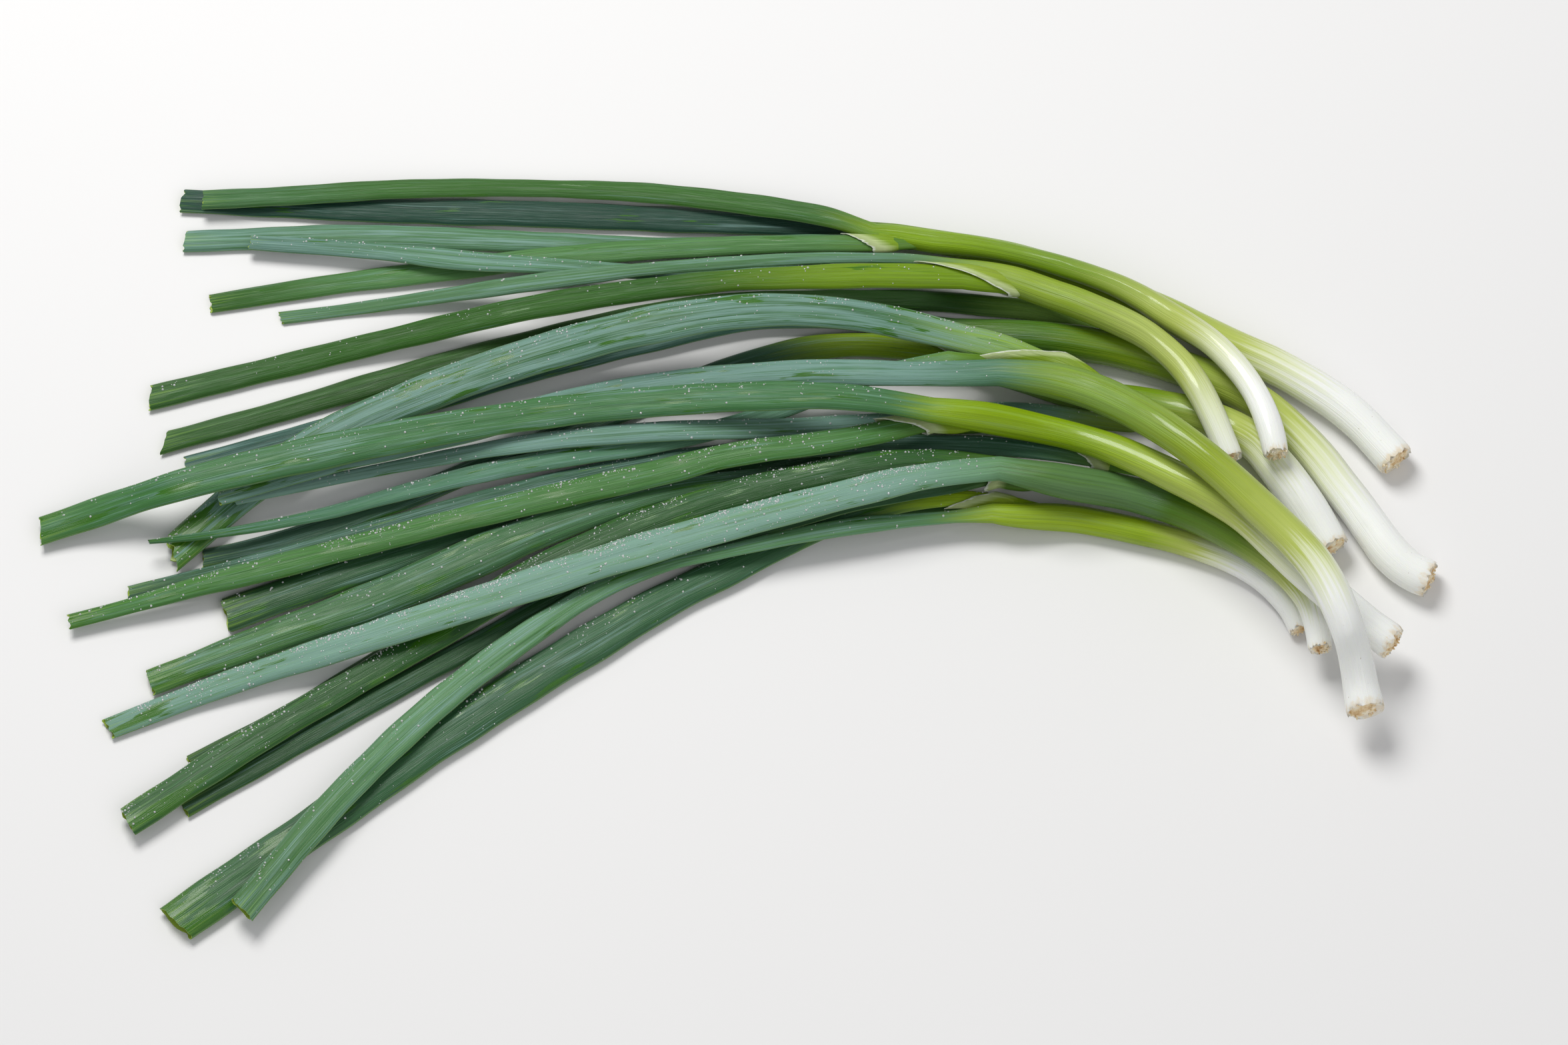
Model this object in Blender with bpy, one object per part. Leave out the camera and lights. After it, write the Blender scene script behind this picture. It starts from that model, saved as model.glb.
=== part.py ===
# Spring onion bunch: nine trimmed onions lying loose on a flat surface.
# The root ends point to +X and the cut leaf tips to -X; lengths are in millimetres until meshes are made.
import math
import random

import bmesh
import bpy
import numpy as np

MM = 0.001

# Routes are read as seen along a line of sight this far above the surface, from the -Y side.
# Each point is (across, up, width): across is X, up is measured square to the line of sight.
SIGHT_ANGLE = math.radians(65.0)

# The middle of the bunch's outline among the route points; it goes to the origin.
MIDDLE = (0.8, -0.5)

CLEARANCE = 0.55          # room left between pieces that lie on or beside each other
END_GAP = 0.35            # room between a shaft and its root plate
SHAFT_SIDES = 10
LEAF_SIDES = 8
SHAFT_STEP = 8.0          # distance between a shaft's sections
LEAF_STEP = 13.5          # distance between a leaf's sections
FEELER_STEP = 2.0         # distance between the points that are tested while a piece is laid
LAYING_TURNS = 5
EASING_TURNS = {"shaft": 9, "leaf": 6}   # stiffness: how often a piece's rise is evened out

SHAFT_HEIGHT = 0.90       # height of a section over its width, at the root end and along the shaft
MOUTH_HEIGHT = 0.78       # the same where the leaves come out
LEAF_HEIGHT = 0.36        # the same along a leaf
LEAF_BASE_HEIGHT = 0.42   # the same at a leaf's base
THINNEST_LEAF = 1.3       # no leaf is thinner than this
FLATTENED = 30.0          # a shaft flattens over this length towards its mouth

ROOT_ZONE = 3.4           # length of the root plate with its stubs
PLATE_THICKNESS = 1.7
PLATE_TAPER = (1.0, 0.93, 0.72)   # the plate's width over the shaft's end, from the shaft outwards
BUTT_WAIST = 0.93         # the shaft's end over its full width, beside the root plate
BUTT_ROUNDING = 2.4       # the shaft reaches its full width over this length
STUBS_PER_PLATE = 8
STUB_WIDTH = 1.0
STUB_SINK = 0.7
STUB_REACH = (0.30, 0.60)     # how far out on the plate the stubs stand, over its half width
STUB_LENGTH = (0.7, 1.35)
PLATE_SIDES = 8
ROOT_SEED = 11
HEADING_REACH = 5.0           # a section faces the way its piece runs over this far on either side

SHAFTS = {
    "a": [(200.0, 26.8, 11.6), (186.2, 41.6, 11.6), (167.4, 54.2, 11.6), (150.0, 62.6, 11.0),
          (130.0, 73.0, 10.0), (110.0, 82.0, 9.0), (85.0, 90.2, 8.2), (50.0, 96.4, 7.4)],
    "b": [(162.4, 28.4, 7.4), (161.0, 36.0, 8.0), (155.6, 49.6, 7.8), (146.0, 61.6, 8.0),
          (130.0, 72.6, 8.4), (120.0, 78.8, 7.6), (100.0, 86.6, 6.6), (80.0, 91.8, 6.2),
          (60.0, 94.4, 7.4), (44.0, 95.2, 7.2)],
    "c": [(149.2, 27.2, 7.4), (142.4, 43.6, 8.4), (136.6, 54.0, 8.6), (126.0, 64.4, 8.8),
          (110.0, 72.8, 9.4), (90.0, 80.0, 9.4), (71.0, 83.6, 8.6)],
    "e": [(209.0, -8.4, 10.4), (202.0, -5.0, 11.6), (186.0, 14.6, 11.6), (173.0, 31.6, 11.6),
          (157.0, 46.0, 11.0), (140.0, 54.0, 11.0), (120.0, 60.4, 11.0), (100.0, 64.0, 11.0),
          (68.0, 66.8, 9.6)],
    "f": [(179.4, 0.4, 11.4), (172.0, 13.0, 12.4), (164.0, 24.4, 12.0), (156.0, 33.6, 11.6),
          (146.0, 39.0, 11.4), (124.0, 44.4, 11.2), (110.0, 46.4, 11.0), (90.0, 52.4, 10.0),
          (66.0, 59.0, 8.6)],
    "g": [(187.2, -47.6, 11.2), (182.4, -26.0, 10.2), (173.6, -5.6, 11.0), (155.0, 14.6, 10.8),
          (135.0, 32.4, 10.6), (125.0, 39.4, 11.0), (105.0, 49.4, 11.6), (95.0, 52.6, 11.2),
          (81.0, 54.8, 10.0)],
    "h": [(196.8, -27.4, 10.4), (183.0, -17.0, 11.0), (168.0, -4.0, 10.6), (150.0, 12.4, 10.2),
          (130.0, 23.6, 10.0), (110.0, 32.4, 9.2), (100.0, 35.4, 8.8), (80.0, 39.4, 9.8),
          (61.0, 41.6, 9.6)],
    "i": [(174.4, -29.6, 7.2), (171.6, -15.0, 8.0), (167.0, -8.0, 9.0), (150.0, 5.4, 11.0),
          (120.0, 17.4, 10.8), (100.0, 21.0, 10.8), (81.0, 25.0, 8.8)],
    "k": [(169.2, -24.0, 6.4), (167.4, -18.4, 7.6), (156.0, -5.6, 8.8), (140.0, 1.6, 8.4),
          (120.0, 6.8, 8.2), (100.0, 10.8, 8.6), (79.0, 14.0, 9.0)],
}

# Leaf routes run from the base to the cut tip.
LEAVES = {
    "a1": [(48.6, 97.4, 5.6), (38.0, 98.4, 6.2), (10.0, 100.4, 8.0), (-20.0, 101.6, 8.8),
           (-60.0, 103.2, 9.0), (-100.0, 104.4, 9.0), (-140.0, 106.0, 8.4), (-168.4, 107.4, 8.0)],
    "a2": [(48.4, 94.8, 5.0), (20.0, 94.4, 5.6), (-20.0, 93.2, 6.4), (-60.0, 94.6, 7.2),
           (-80.0, 95.4, 7.6), (-120.0, 96.4, 8.0), (-140.0, 95.8, 7.8), (-167.2, 94.8, 7.2)],
    "b1": [(42.6, 97.2, 5.4), (36.0, 100.0, 6.4), (20.0, 103.8, 7.0), (0.0, 106.8, 7.2),
           (-20.0, 109.2, 7.0), (-60.0, 111.2, 6.0), (-100.0, 111.0, 6.6), (-140.0, 108.6, 6.6),
           (-161.8, 107.6, 6.6)],
    "b2": [(42.6, 93.8, 5.4), (20.0, 93.8, 5.8), (-20.0, 92.4, 6.8), (-60.0, 89.4, 7.0),
           (-80.0, 86.8, 7.4), (-120.0, 81.8, 7.0), (-158.8, 75.6, 6.4)],
    "c1": [(69.6, 83.4, 8.0), (40.0, 83.8, 8.6), (20.0, 83.2, 8.0), (0.0, 82.4, 7.2),
           (-20.0, 80.4, 7.6), (-60.0, 74.4, 8.2), (-100.0, 65.4, 8.0), (-140.0, 55.6, 8.0),
           (-176.0, 46.8, 8.2)],
    "c2": [(69.6, 86.4, 3.4), (60.0, 88.4, 3.4), (40.0, 89.4, 3.6), (0.0, 88.0, 4.4),
           (-20.0, 86.6, 4.4), (-60.0, 82.0, 6.0), (-80.0, 79.2, 5.4), (-120.0, 73.4, 4.2),
           (-137.4, 71.2, 4.4)],
    "c3": [(69.6, 83.2, 5.0), (40.0, 85.4, 5.0), (0.0, 85.0, 5.0), (-20.0, 85.0, 5.2),
           (-60.0, 87.4, 5.6), (-80.0, 88.6, 6.8), (-110.0, 91.8, 5.8), (-147.2, 94.4, 5.2)],
    "e1": [(104.0, 69.4, 3.8), (96.0, 72.4, 5.8), (80.0, 74.6, 7.2), (60.0, 76.4, 6.8),
           (20.0, 76.6, 6.8), (0.0, 76.0, 7.0), (-20.0, 73.4, 7.2), (-60.0, 64.4, 7.6),
           (-100.0, 53.6, 8.0), (-140.0, 41.8, 7.2), (-171.4, 33.2, 7.2)],
    "e2": [(66.6, 67.2, 7.8), (40.0, 70.4, 7.6), (20.0, 71.6, 7.6), (0.0, 70.0, 7.6),
           (-20.0, 65.4, 7.6), (-60.0, 55.4, 7.6), (-100.0, 43.6, 7.6), (-140.0, 32.4, 7.6),
           (-164.4, 25.6, 7.6)],
    "f1": [(64.6, 60.2, 6.6), (40.0, 63.0, 8.0), (20.0, 61.4, 8.4), (0.0, 56.0, 8.0),
           (-20.0, 48.4, 8.0), (-60.0, 32.4, 8.0), (-100.0, 16.0, 7.6), (-140.0, 2.4, 6.6),
           (-158.6, -1.6, 6.0)],
    "f2": [(64.6, 57.6, 5.8), (40.0, 53.0, 6.4), (20.0, 45.4, 6.4), (0.0, 38.6, 6.4),
           (-20.0, 33.6, 6.4), (-60.0, 27.2, 6.6), (-80.0, 23.0, 6.4), (-100.0, 18.0, 5.2),
           (-120.0, 12.4, 4.4), (-140.0, 8.2, 3.4), (-160.0, 5.0, 2.6), (-174.4, 3.4, 1.4)],
    "f3": [(118.0, 38.4, 4.6), (100.0, 40.8, 6.6), (83.0, 42.6, 6.6), (60.0, 40.6, 6.4),
           (20.0, 37.8, 6.6), (-20.0, 36.6, 6.8), (-60.0, 33.2, 6.0), (-100.0, 26.2, 4.4),
           (-149.0, 16.0, 3.6)],
    "g1": [(95.0, 58.2, 4.6), (88.0, 60.2, 7.4), (76.0, 63.0, 9.0), (40.0, 71.2, 10.4),
           (20.0, 73.2, 10.8), (0.0, 72.6, 11.6), (-20.0, 69.6, 12.4), (-60.0, 59.6, 12.8),
           (-100.0, 45.2, 12.2), (-120.0, 36.0, 12.0), (-140.0, 23.6, 12.0), (-167.6, 0.0, 11.0)],
    "g2": [(79.6, 54.2, 8.4), (60.0, 53.8, 8.4), (20.0, 54.2, 8.8), (0.0, 53.0, 8.8),
           (-40.0, 47.6, 8.8), (-80.0, 37.0, 8.6), (-120.0, 27.6, 8.2), (-154.0, 17.6, 7.6)],
    "h1": [(59.6, 42.8, 7.4), (40.0, 46.2, 8.4), (20.0, 47.2, 9.4), (0.0, 46.8, 10.0),
           (-40.0, 44.0, 10.2), (-80.0, 38.6, 10.6), (-100.0, 35.0, 11.2), (-140.0, 26.6, 11.4),
           (-160.0, 21.8, 10.4), (-207.4, 6.6, 9.4)],
    "h2": [(59.6, 39.6, 5.8), (40.0, 35.4, 7.6), (20.0, 32.2, 7.6), (0.0, 29.6, 8.2),
           (-20.0, 24.6, 8.6), (-60.0, 15.4, 8.4), (-100.0, 5.4, 7.6), (-140.0, -5.0, 7.8),
           (-160.0, -10.0, 6.8), (-180.0, -15.8, 5.0), (-197.6, -20.4, 5.2)],
    "h3": [(107.0, 27.4, 4.2), (96.0, 29.4, 5.2), (80.0, 31.6, 6.4), (60.0, 32.6, 6.2),
           (40.0, 32.4, 6.6), (0.0, 30.0, 7.0), (-20.0, 27.6, 7.2), (-60.0, 19.2, 7.6),
           (-100.0, 8.4, 7.6), (-140.0, -3.0, 7.6), (-180.4, -12.6, 6.0)],
    "h4": [(59.0, 38.6, 5.6), (40.0, 33.6, 6.6), (10.0, 27.0, 7.6), (-20.0, 21.0, 8.6),
           (-50.0, 14.0, 9.4), (-90.0, 2.4, 10.0), (-130.0, -11.0, 11.0), (-151.2, -18.6, 11.0)],
    "i1": [(79.6, 25.4, 7.2), (60.0, 23.4, 8.6), (30.0, 16.6, 9.8), (-10.0, 6.0, 10.4),
           (-30.0, 0.2, 10.8), (-70.0, -12.6, 10.6), (-110.0, -25.6, 9.6), (-150.0, -38.6, 8.0),
           (-185.0, -52.0, 7.0)],
    "i2": [(79.4, 26.4, 5.6), (60.0, 28.0, 7.0), (40.0, 26.4, 8.4), (20.0, 22.4, 9.2),
           (-20.0, 11.0, 10.0), (-40.0, 3.0, 10.4), (-60.0, -6.8, 10.8), (-80.0, -19.0, 10.4),
           (-120.0, -42.8, 9.0), (-140.0, -54.4, 9.8), (-178.0, -79.0, 9.6)],
    "i3": [(79.4, 22.8, 4.0), (70.0, 20.6, 4.0), (40.0, 15.6, 5.0), (10.0, 8.0, 6.0),
           (-20.0, -0.4, 6.4), (-40.0, -8.0, 6.6), (-80.0, -29.0, 7.2), (-120.0, -51.0, 7.6),
           (-162.0, -75.0, 7.0)],
    "i4": [(79.4, 24.8, 5.0), (40.0, 24.0, 6.6), (10.0, 22.4, 7.2), (-20.0, 18.4, 8.0),
           (-40.0, 13.0, 10.0), (-60.0, 6.0, 12.0), (-80.0, -2.6, 13.4), (-100.0, -11.4, 13.0),
           (-140.0, -26.0, 10.4), (-173.0, -38.4, 8.4)],
    "k1": [(77.6, 12.0, 4.6), (60.0, 10.4, 4.2), (40.0, 8.6, 5.6), (20.0, 5.4, 5.4),
           (0.0, 1.0, 4.4), (-20.0, -3.4, 4.8), (-40.0, -11.0, 6.6), (-60.0, -23.6, 8.4),
           (-80.0, -38.4, 9.0), (-115.0, -71.0, 9.2), (-143.6, -104.4, 9.2)],
    "k2": [(77.6, 15.8, 5.0), (60.0, 16.4, 6.0), (40.0, 12.4, 7.2), (20.0, 5.0, 8.4),
           (0.0, -4.4, 10.0), (-20.0, -14.0, 11.6), (-40.0, -25.6, 12.8), (-80.0, -50.4, 13.2),
           (-120.0, -78.2, 12.8), (-163.0, -108.4, 14.0)],
    "k3": [(77.4, 14.0, 4.6), (40.0, 13.0, 5.2), (0.0, 7.0, 5.6), (-40.0, -3.0, 5.8),
           (-70.0, -12.0, 5.8), (-100.0, -28.0, 5.6), (-130.0, -46.0, 5.0), (-160.8, -61.6, 4.0)],
}

# These leaves part from their shaft's side, below its mouth, and lie against it.
SIDE_LEAVES = ("e1", "f3", "g1", "h3")

# Pieces are laid one on another in this order, the lowest first.
LAYING_ORDER = (
    "shaft_a", "leaf_a1", "leaf_a2", "shaft_e", "leaf_e1", "leaf_e2", "shaft_f", "leaf_f1",
    "shaft_b", "leaf_b1", "leaf_b2", "shaft_c", "leaf_c3", "leaf_c2", "leaf_c1",
    "shaft_k", "leaf_k3", "leaf_k2", "shaft_i", "leaf_i3", "leaf_k1", "leaf_h4", "leaf_i4",
    "leaf_i2", "leaf_h3", "leaf_g1", "leaf_f2", "leaf_f3", "shaft_h", "shaft_g", "leaf_g2",
    "leaf_h2", "leaf_h1", "leaf_i1",
)

# How far the cut across a leaf's tip leans, in degrees; the others are cut at DEFAULT_TIP_LEAN.
TIP_LEAN = {"c1": 18.0, "c2": -14.0, "e1": 30.0, "h1": 12.0, "i1": -8.0, "k1": 10.0, "k2": -8.0, "g1": 26.0}
DEFAULT_TIP_LEAN = 6.0

SHAFT_COLOUR = (0.80, 0.82, 0.62)
ROOT_COLOUR = (0.62, 0.47, 0.28)
DARK_LEAF = (0.045, 0.13, 0.06)
MID_LEAF = (0.12, 0.26, 0.10)
WAXY_LEAF = (0.21, 0.36, 0.30)
PALE_LEAF = (0.38, 0.48, 0.20)
LEAF_COLOURS = {
    "a1": DARK_LEAF, "a2": PALE_LEAF, "b1": MID_LEAF, "b2": MID_LEAF, "c1": WAXY_LEAF, "c2": MID_LEAF,
    "c3": PALE_LEAF, "e1": WAXY_LEAF, "e2": DARK_LEAF, "f1": DARK_LEAF, "f2": MID_LEAF, "f3": PALE_LEAF,
    "g1": WAXY_LEAF, "g2": WAXY_LEAF, "h1": WAXY_LEAF, "h2": MID_LEAF, "h3": DARK_LEAF, "h4": DARK_LEAF,
    "i1": PALE_LEAF, "i2": WAXY_LEAF, "i3": DARK_LEAF, "i4": DARK_LEAF, "k1": PALE_LEAF, "k2": WAXY_LEAF,
    "k3": MID_LEAF,
}


def clear_scene():
    for thing in list(bpy.data.objects):
        bpy.data.objects.remove(thing, do_unlink=True)


def flow_through(values, stations, at):
    # A smooth curve through the values, read at the stations asked for.
    slopes = np.gradient(values, stations)
    index = np.clip(np.searchsorted(stations, at, side="right") - 1, 0, len(stations) - 2)
    span = stations[index + 1] - stations[index]
    t = (at - stations[index]) / span
    rise = t * t * (3.0 - 2.0 * t)
    start_pull = t * (1.0 - t) ** 2 * span * slopes[index]
    end_pull = t * t * (t - 1.0) * span * slopes[index + 1]
    return values[index] * (1.0 - rise) + values[index + 1] * rise + start_pull + end_pull


def sections_along(points, step):
    # Sections of a piece: how far along it they are, and their across, up and width there.
    table = np.array(points)
    lengths = np.hypot(np.diff(table[:, 0]), np.diff(table[:, 1]))
    stations = np.concatenate(([0.0], np.cumsum(lengths)))
    count = max(3, int(round(stations[-1] / step)) + 1)
    at = np.linspace(0.0, stations[-1], count)
    columns = [flow_through(table[:, column], stations, at) for column in range(3)]
    return at, columns[0], columns[1], columns[2]


def make_piece(name):
    kind, key = name.split("_")
    if kind == "shaft":
        at, x, up, width = sections_along(SHAFTS[key], SHAFT_STEP)
        along = np.clip((at[-1] - at) / FLATTENED, 0.0, 1.0)
        height = width * (MOUTH_HEIGHT + (SHAFT_HEIGHT - MOUTH_HEIGHT) * along)
        sides = SHAFT_SIDES
    else:
        at, x, up, width = sections_along(LEAVES[key], LEAF_STEP)
        along = np.clip(at / (0.3 * at[-1]), 0.0, 1.0)
        height = width * (LEAF_BASE_HEIGHT + (LEAF_HEIGHT - LEAF_BASE_HEIGHT) * along)
        height = np.maximum(height, THINNEST_LEAF)
        sides = LEAF_SIDES
    return {
        "name": name, "kind": kind, "key": key, "sides": sides, "at": at, "x": x, "up": up,
        "half_width": width / 2.0, "half_height": height / 2.0, "lift": np.zeros(len(at)),
    }


def underside(piece):
    # From a section's centre down to its lowest facet.
    return piece["half_height"] * math.cos(math.pi / piece["sides"])


def place_by_sight(piece):
    # A section that is lifted moves towards the viewer, so that it is still seen in the same place.
    piece["z"] = piece["lift"] + underside(piece)
    piece["y"] = (piece["up"] - piece["z"] * math.cos(SIGHT_ANGLE)) / math.sin(SIGHT_ANGLE)


def feelers(piece):
    # Closely spaced points along the straight runs between a piece's sections.
    at = np.arange(0.0, piece["at"][-1], FEELER_STEP)
    at = np.union1d(at, piece["at"])
    fields = {field: np.interp(at, piece["at"], piece[field])
              for field in ("x", "y", "z", "half_width", "half_height")}
    fields["at"] = at
    return fields


def is_attached(piece, other):
    # A shaft and the leaves that come out of its mouth meet end to end.
    if piece["key"][0] != other["key"][0] or piece["kind"] == other["kind"]:
        return False
    leaf = piece if piece["kind"] == "leaf" else other
    return leaf["key"] not in SIDE_LEAVES


def lift_needed(piece, laid):
    # How high each section's underside must be to clear the surface and all that is laid already.
    own = feelers(piece)
    low = own["half_height"] * math.cos(math.pi / piece["sides"])
    need = np.zeros(len(own["at"]))
    for other in laid:
        if is_attached(piece, other):
            continue
        under = other["feelers"]
        across = np.hypot(own["x"][:, None] - under["x"][None, :], own["y"][:, None] - under["y"][None, :])
        reach = own["half_width"][:, None] + under["half_width"][None, :] + CLEARANCE
        tall = own["half_height"][:, None] + under["half_height"][None, :] + CLEARANCE
        inside = across < reach
        centre = under["z"][None, :] + tall * np.sqrt(np.clip(1.0 - (across / reach) ** 2, 0.0, 1.0))
        lift = np.where(inside, centre - low[:, None], 0.0)
        need = np.maximum(need, lift.max(axis=1))
    sections = piece["at"]
    result = np.zeros(len(sections))
    for number in range(len(sections)):
        start = sections[max(number - 1, 0)]
        end = sections[min(number + 1, len(sections) - 1)]
        near = (own["at"] >= start) & (own["at"] <= end)
        result[number] = need[near].max()
    return result


def eased(need, turns):
    # The piece bends gently, and no section drops below what it needs.
    lift = need
    for turn in range(turns):
        padded = np.pad(lift, 1, mode="edge")
        lift = np.maximum(need, 0.25 * padded[:-2] + 0.5 * padded[1:-1] + 0.25 * padded[2:])
    return lift


def lay(piece, laid):
    mouth = [other for other in laid if is_attached(piece, other)]
    for turn in range(LAYING_TURNS):
        place_by_sight(piece)
        need = lift_needed(piece, laid)
        if mouth and piece["kind"] == "leaf":
            middle = mouth[0]["z"][-1] - underside(piece)[0]
            need[0] = max(need[0], middle - 0.2 * mouth[0]["half_height"][-1])
        lift = eased(need, EASING_TURNS[piece["kind"]])
        if turn > 1:
            lift = np.maximum(lift, piece["lift"])
        piece["lift"] = lift
    piece["z"] = piece["lift"] + underside(piece)
    piece["feelers"] = feelers(piece)
    laid.append(piece)


def ring_corners(ring, sides, size=1.0, lean=0.0, move=(0.0, 0.0)):
    # One section: an upright oval with a facet at its lowest side, its corners moved along by the lean.
    x, y, z = ring["centre"]
    corners = []
    for number in range(sides):
        angle = -math.pi / 2.0 + (number + 0.5) * 2.0 * math.pi / sides
        out = math.cos(angle) * ring["half_width"] * size
        height = z + math.sin(angle) * ring["half_height"] * size
        shift = out * math.tan(lean)
        corners.append((
            x + move[0] + ring["sideways"][0] * out + ring["forward"][0] * shift,
            y + move[1] + ring["sideways"][1] * out + ring["forward"][1] * shift,
            max(height, 0.0),
        ))
    return corners


def rings_at(piece, stations):
    # A piece's centre, sizes and heading in plan at the stations asked for.
    start = np.clip(stations - HEADING_REACH, 0.0, piece["at"][-1])
    end = np.clip(stations + HEADING_REACH, 0.0, piece["at"][-1])
    dx = np.interp(end, piece["at"], piece["x"]) - np.interp(start, piece["at"], piece["x"])
    dy = np.interp(end, piece["at"], piece["y"]) - np.interp(start, piece["at"], piece["y"])
    size = np.hypot(dx, dy)
    rings = []
    for number, station in enumerate(stations):
        read = {field: float(np.interp(station, piece["at"], piece[field]))
                for field in ("x", "y", "z", "half_width", "half_height")}
        rings.append({
            "centre": (read["x"], read["y"], read["z"]),
            "forward": (dx[number] / size[number], dy[number] / size[number]),
            "sideways": (-dy[number] / size[number], dx[number] / size[number]),
            "half_width": read["half_width"], "half_height": read["half_height"],
            "past": station,
        })
    return rings


def loft(name, rings):
    # Skin a row of rings into one closed body with flat ends.
    shape = bmesh.new()
    rows = [[shape.verts.new(((x - MIDDLE[0]) * MM, (y - MIDDLE[1]) * MM, z * MM)) for x, y, z in ring]
            for ring in rings]
    sides = len(rows[0])
    for lower, upper in zip(rows, rows[1:]):
        for number in range(sides):
            following = (number + 1) % sides
            shape.faces.new((lower[number], lower[following], upper[following], upper[number]))
    shape.faces.new(list(reversed(rows[0])))
    shape.faces.new(rows[-1])
    bmesh.ops.triangulate(shape, faces=[face for face in shape.faces if len(face.verts) > 4])
    bmesh.ops.recalc_face_normals(shape, faces=shape.faces)
    mesh = bpy.data.meshes.new(name)
    shape.to_mesh(mesh)
    shape.free()
    mesh.shade_smooth()
    mesh.set_sharp_from_angle(angle=math.radians(50.0))
    return mesh


def finish_material(name, colour, roughness):
    material = bpy.data.materials.new(name)
    material.use_nodes = True
    shader = material.node_tree.nodes["Principled BSDF"]
    shader.inputs["Base Color"].default_value = (colour[0], colour[1], colour[2], 1.0)
    shader.inputs["Roughness"].default_value = roughness
    shader.inputs["Metallic"].default_value = 0.0
    return material


def add_object(name, mesh, collection, material):
    thing = bpy.data.objects.new(name, mesh)
    mesh.materials.append(material)
    collection.objects.link(thing)
    return thing


def shaft_mesh(piece):
    # The shaft starts past its root zone, rounded in towards the root plate.
    rounding = [ROOT_ZONE, ROOT_ZONE + 0.3 * BUTT_ROUNDING, ROOT_ZONE + BUTT_ROUNDING]
    stations = rounding + [s for s in piece["at"] if s > rounding[-1] + 0.1 * SHAFT_STEP]
    corners = []
    for ring in rings_at(piece, np.array(stations)):
        rounded = math.sqrt(min((ring["past"] - ROOT_ZONE) / BUTT_ROUNDING, 1.0))
        size = BUTT_WAIST + (1.0 - BUTT_WAIST) * rounded
        corners.append(ring_corners(ring, piece["sides"], size))
    return loft(piece["name"], corners)


def leaf_mesh(piece):
    rings = rings_at(piece, piece["at"])
    corners = [ring_corners(ring, piece["sides"]) for ring in rings[:-1]]
    lean = math.radians(TIP_LEAN.get(piece["key"], DEFAULT_TIP_LEAN))
    corners.append(ring_corners(rings[-1], piece["sides"], 1.0, lean))
    return loft(piece["name"], corners)


def root_stub(start, end, width):
    # A trimmed root: a short three-sided taper.
    ahead = np.array(end) - np.array(start)
    ahead = ahead / np.linalg.norm(ahead)
    side = np.cross(ahead, (0.0, 0.0, 1.0))
    side = side / np.linalg.norm(side)
    top = np.cross(side, ahead)
    rings = []
    for point, size in ((start, width / 2.0), (end, width / 3.5)):
        ring = []
        for number in range(3):
            angle = number * 2.0 * math.pi / 3.0
            corner = np.array(point) + side * math.cos(angle) * size + top * math.sin(angle) * size
            ring.append(tuple(corner))
        rings.append(ring)
    return loft("root_stub", rings)


def root_plate(piece, collection, material):
    # The plate under the shaft, with its trimmed roots joined to it.
    seat = rings_at(piece, np.array([ROOT_ZONE]))[0]
    outward = (-seat["forward"][0], -seat["forward"][1])
    corners = []
    distances = (END_GAP, END_GAP + 0.6 * PLATE_THICKNESS, PLATE_THICKNESS)
    for distance, size in zip(distances, PLATE_TAPER):
        move = (outward[0] * distance, outward[1] * distance)
        corners.append(ring_corners(seat, PLATE_SIDES, BUTT_WAIST * size, 0.0, move))
    name = "root_plate_" + piece["key"]
    plate = add_object(name, loft(name, corners), collection, material)

    draw = random.Random(ROOT_SEED + ord(piece["key"]))
    stubs = bpy.data.collections.new("root_stubs_" + piece["key"])
    bpy.context.scene.collection.children.link(stubs)
    middle = np.array(seat["centre"])
    ahead = np.array((outward[0], outward[1], 0.0))
    across = np.array((seat["sideways"][0], seat["sideways"][1], 0.0)) * seat["half_width"] * BUTT_WAIST
    up = np.array((0.0, 0.0, seat["half_height"] * BUTT_WAIST))
    for number in range(STUBS_PER_PLATE):
        turn = (number + draw.uniform(-0.2, 0.2)) * 2.0 * math.pi / STUBS_PER_PLATE
        reach = draw.uniform(*STUB_REACH)
        offset = (across * math.cos(turn) + up * math.sin(turn)) * reach
        start = middle + ahead * (PLATE_THICKNESS - STUB_SINK) + offset
        end = middle + ahead * (PLATE_THICKNESS + draw.uniform(*STUB_LENGTH)) + offset * 1.1
        mesh = root_stub(tuple(start), tuple(end), STUB_WIDTH)
        stubs.objects.link(bpy.data.objects.new("root_stub", mesh))
    union = plate.modifiers.new("roots joined", "BOOLEAN")
    union.operation = "UNION"
    union.operand_type = "COLLECTION"
    union.collection = stubs
    union.solver = "EXACT"
    bpy.context.view_layer.update()
    seen = plate.evaluated_get(bpy.context.evaluated_depsgraph_get())
    joined = bpy.data.meshes.new_from_object(seen)
    plate.modifiers.remove(union)
    plate.data = joined
    for stub in list(stubs.objects):
        bpy.data.objects.remove(stub, do_unlink=True)
    bpy.data.collections.remove(stubs)
    return plate


def build_bunch():
    clear_scene()
    collection = bpy.data.collections.new("spring_onion_bunch")
    bpy.context.scene.collection.children.link(collection)
    laid = []
    for name in LAYING_ORDER:
        lay(make_piece(name), laid)
    for piece in laid:
        if piece["kind"] == "shaft":
            material = finish_material(piece["name"], SHAFT_COLOUR, 0.35)
            add_object(piece["name"], shaft_mesh(piece), collection, material)
            root_plate(piece, collection, finish_material("root_plate_" + piece["key"], ROOT_COLOUR, 0.8))
        else:
            material = finish_material(piece["name"], LEAF_COLOURS[piece["key"]], 0.45)
            add_object(piece["name"], leaf_mesh(piece), collection, material)
    return laid


build_bunch()
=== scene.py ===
# The looks of a loose bunch of trimmed spring onions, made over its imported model.
import math
import random

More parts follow.
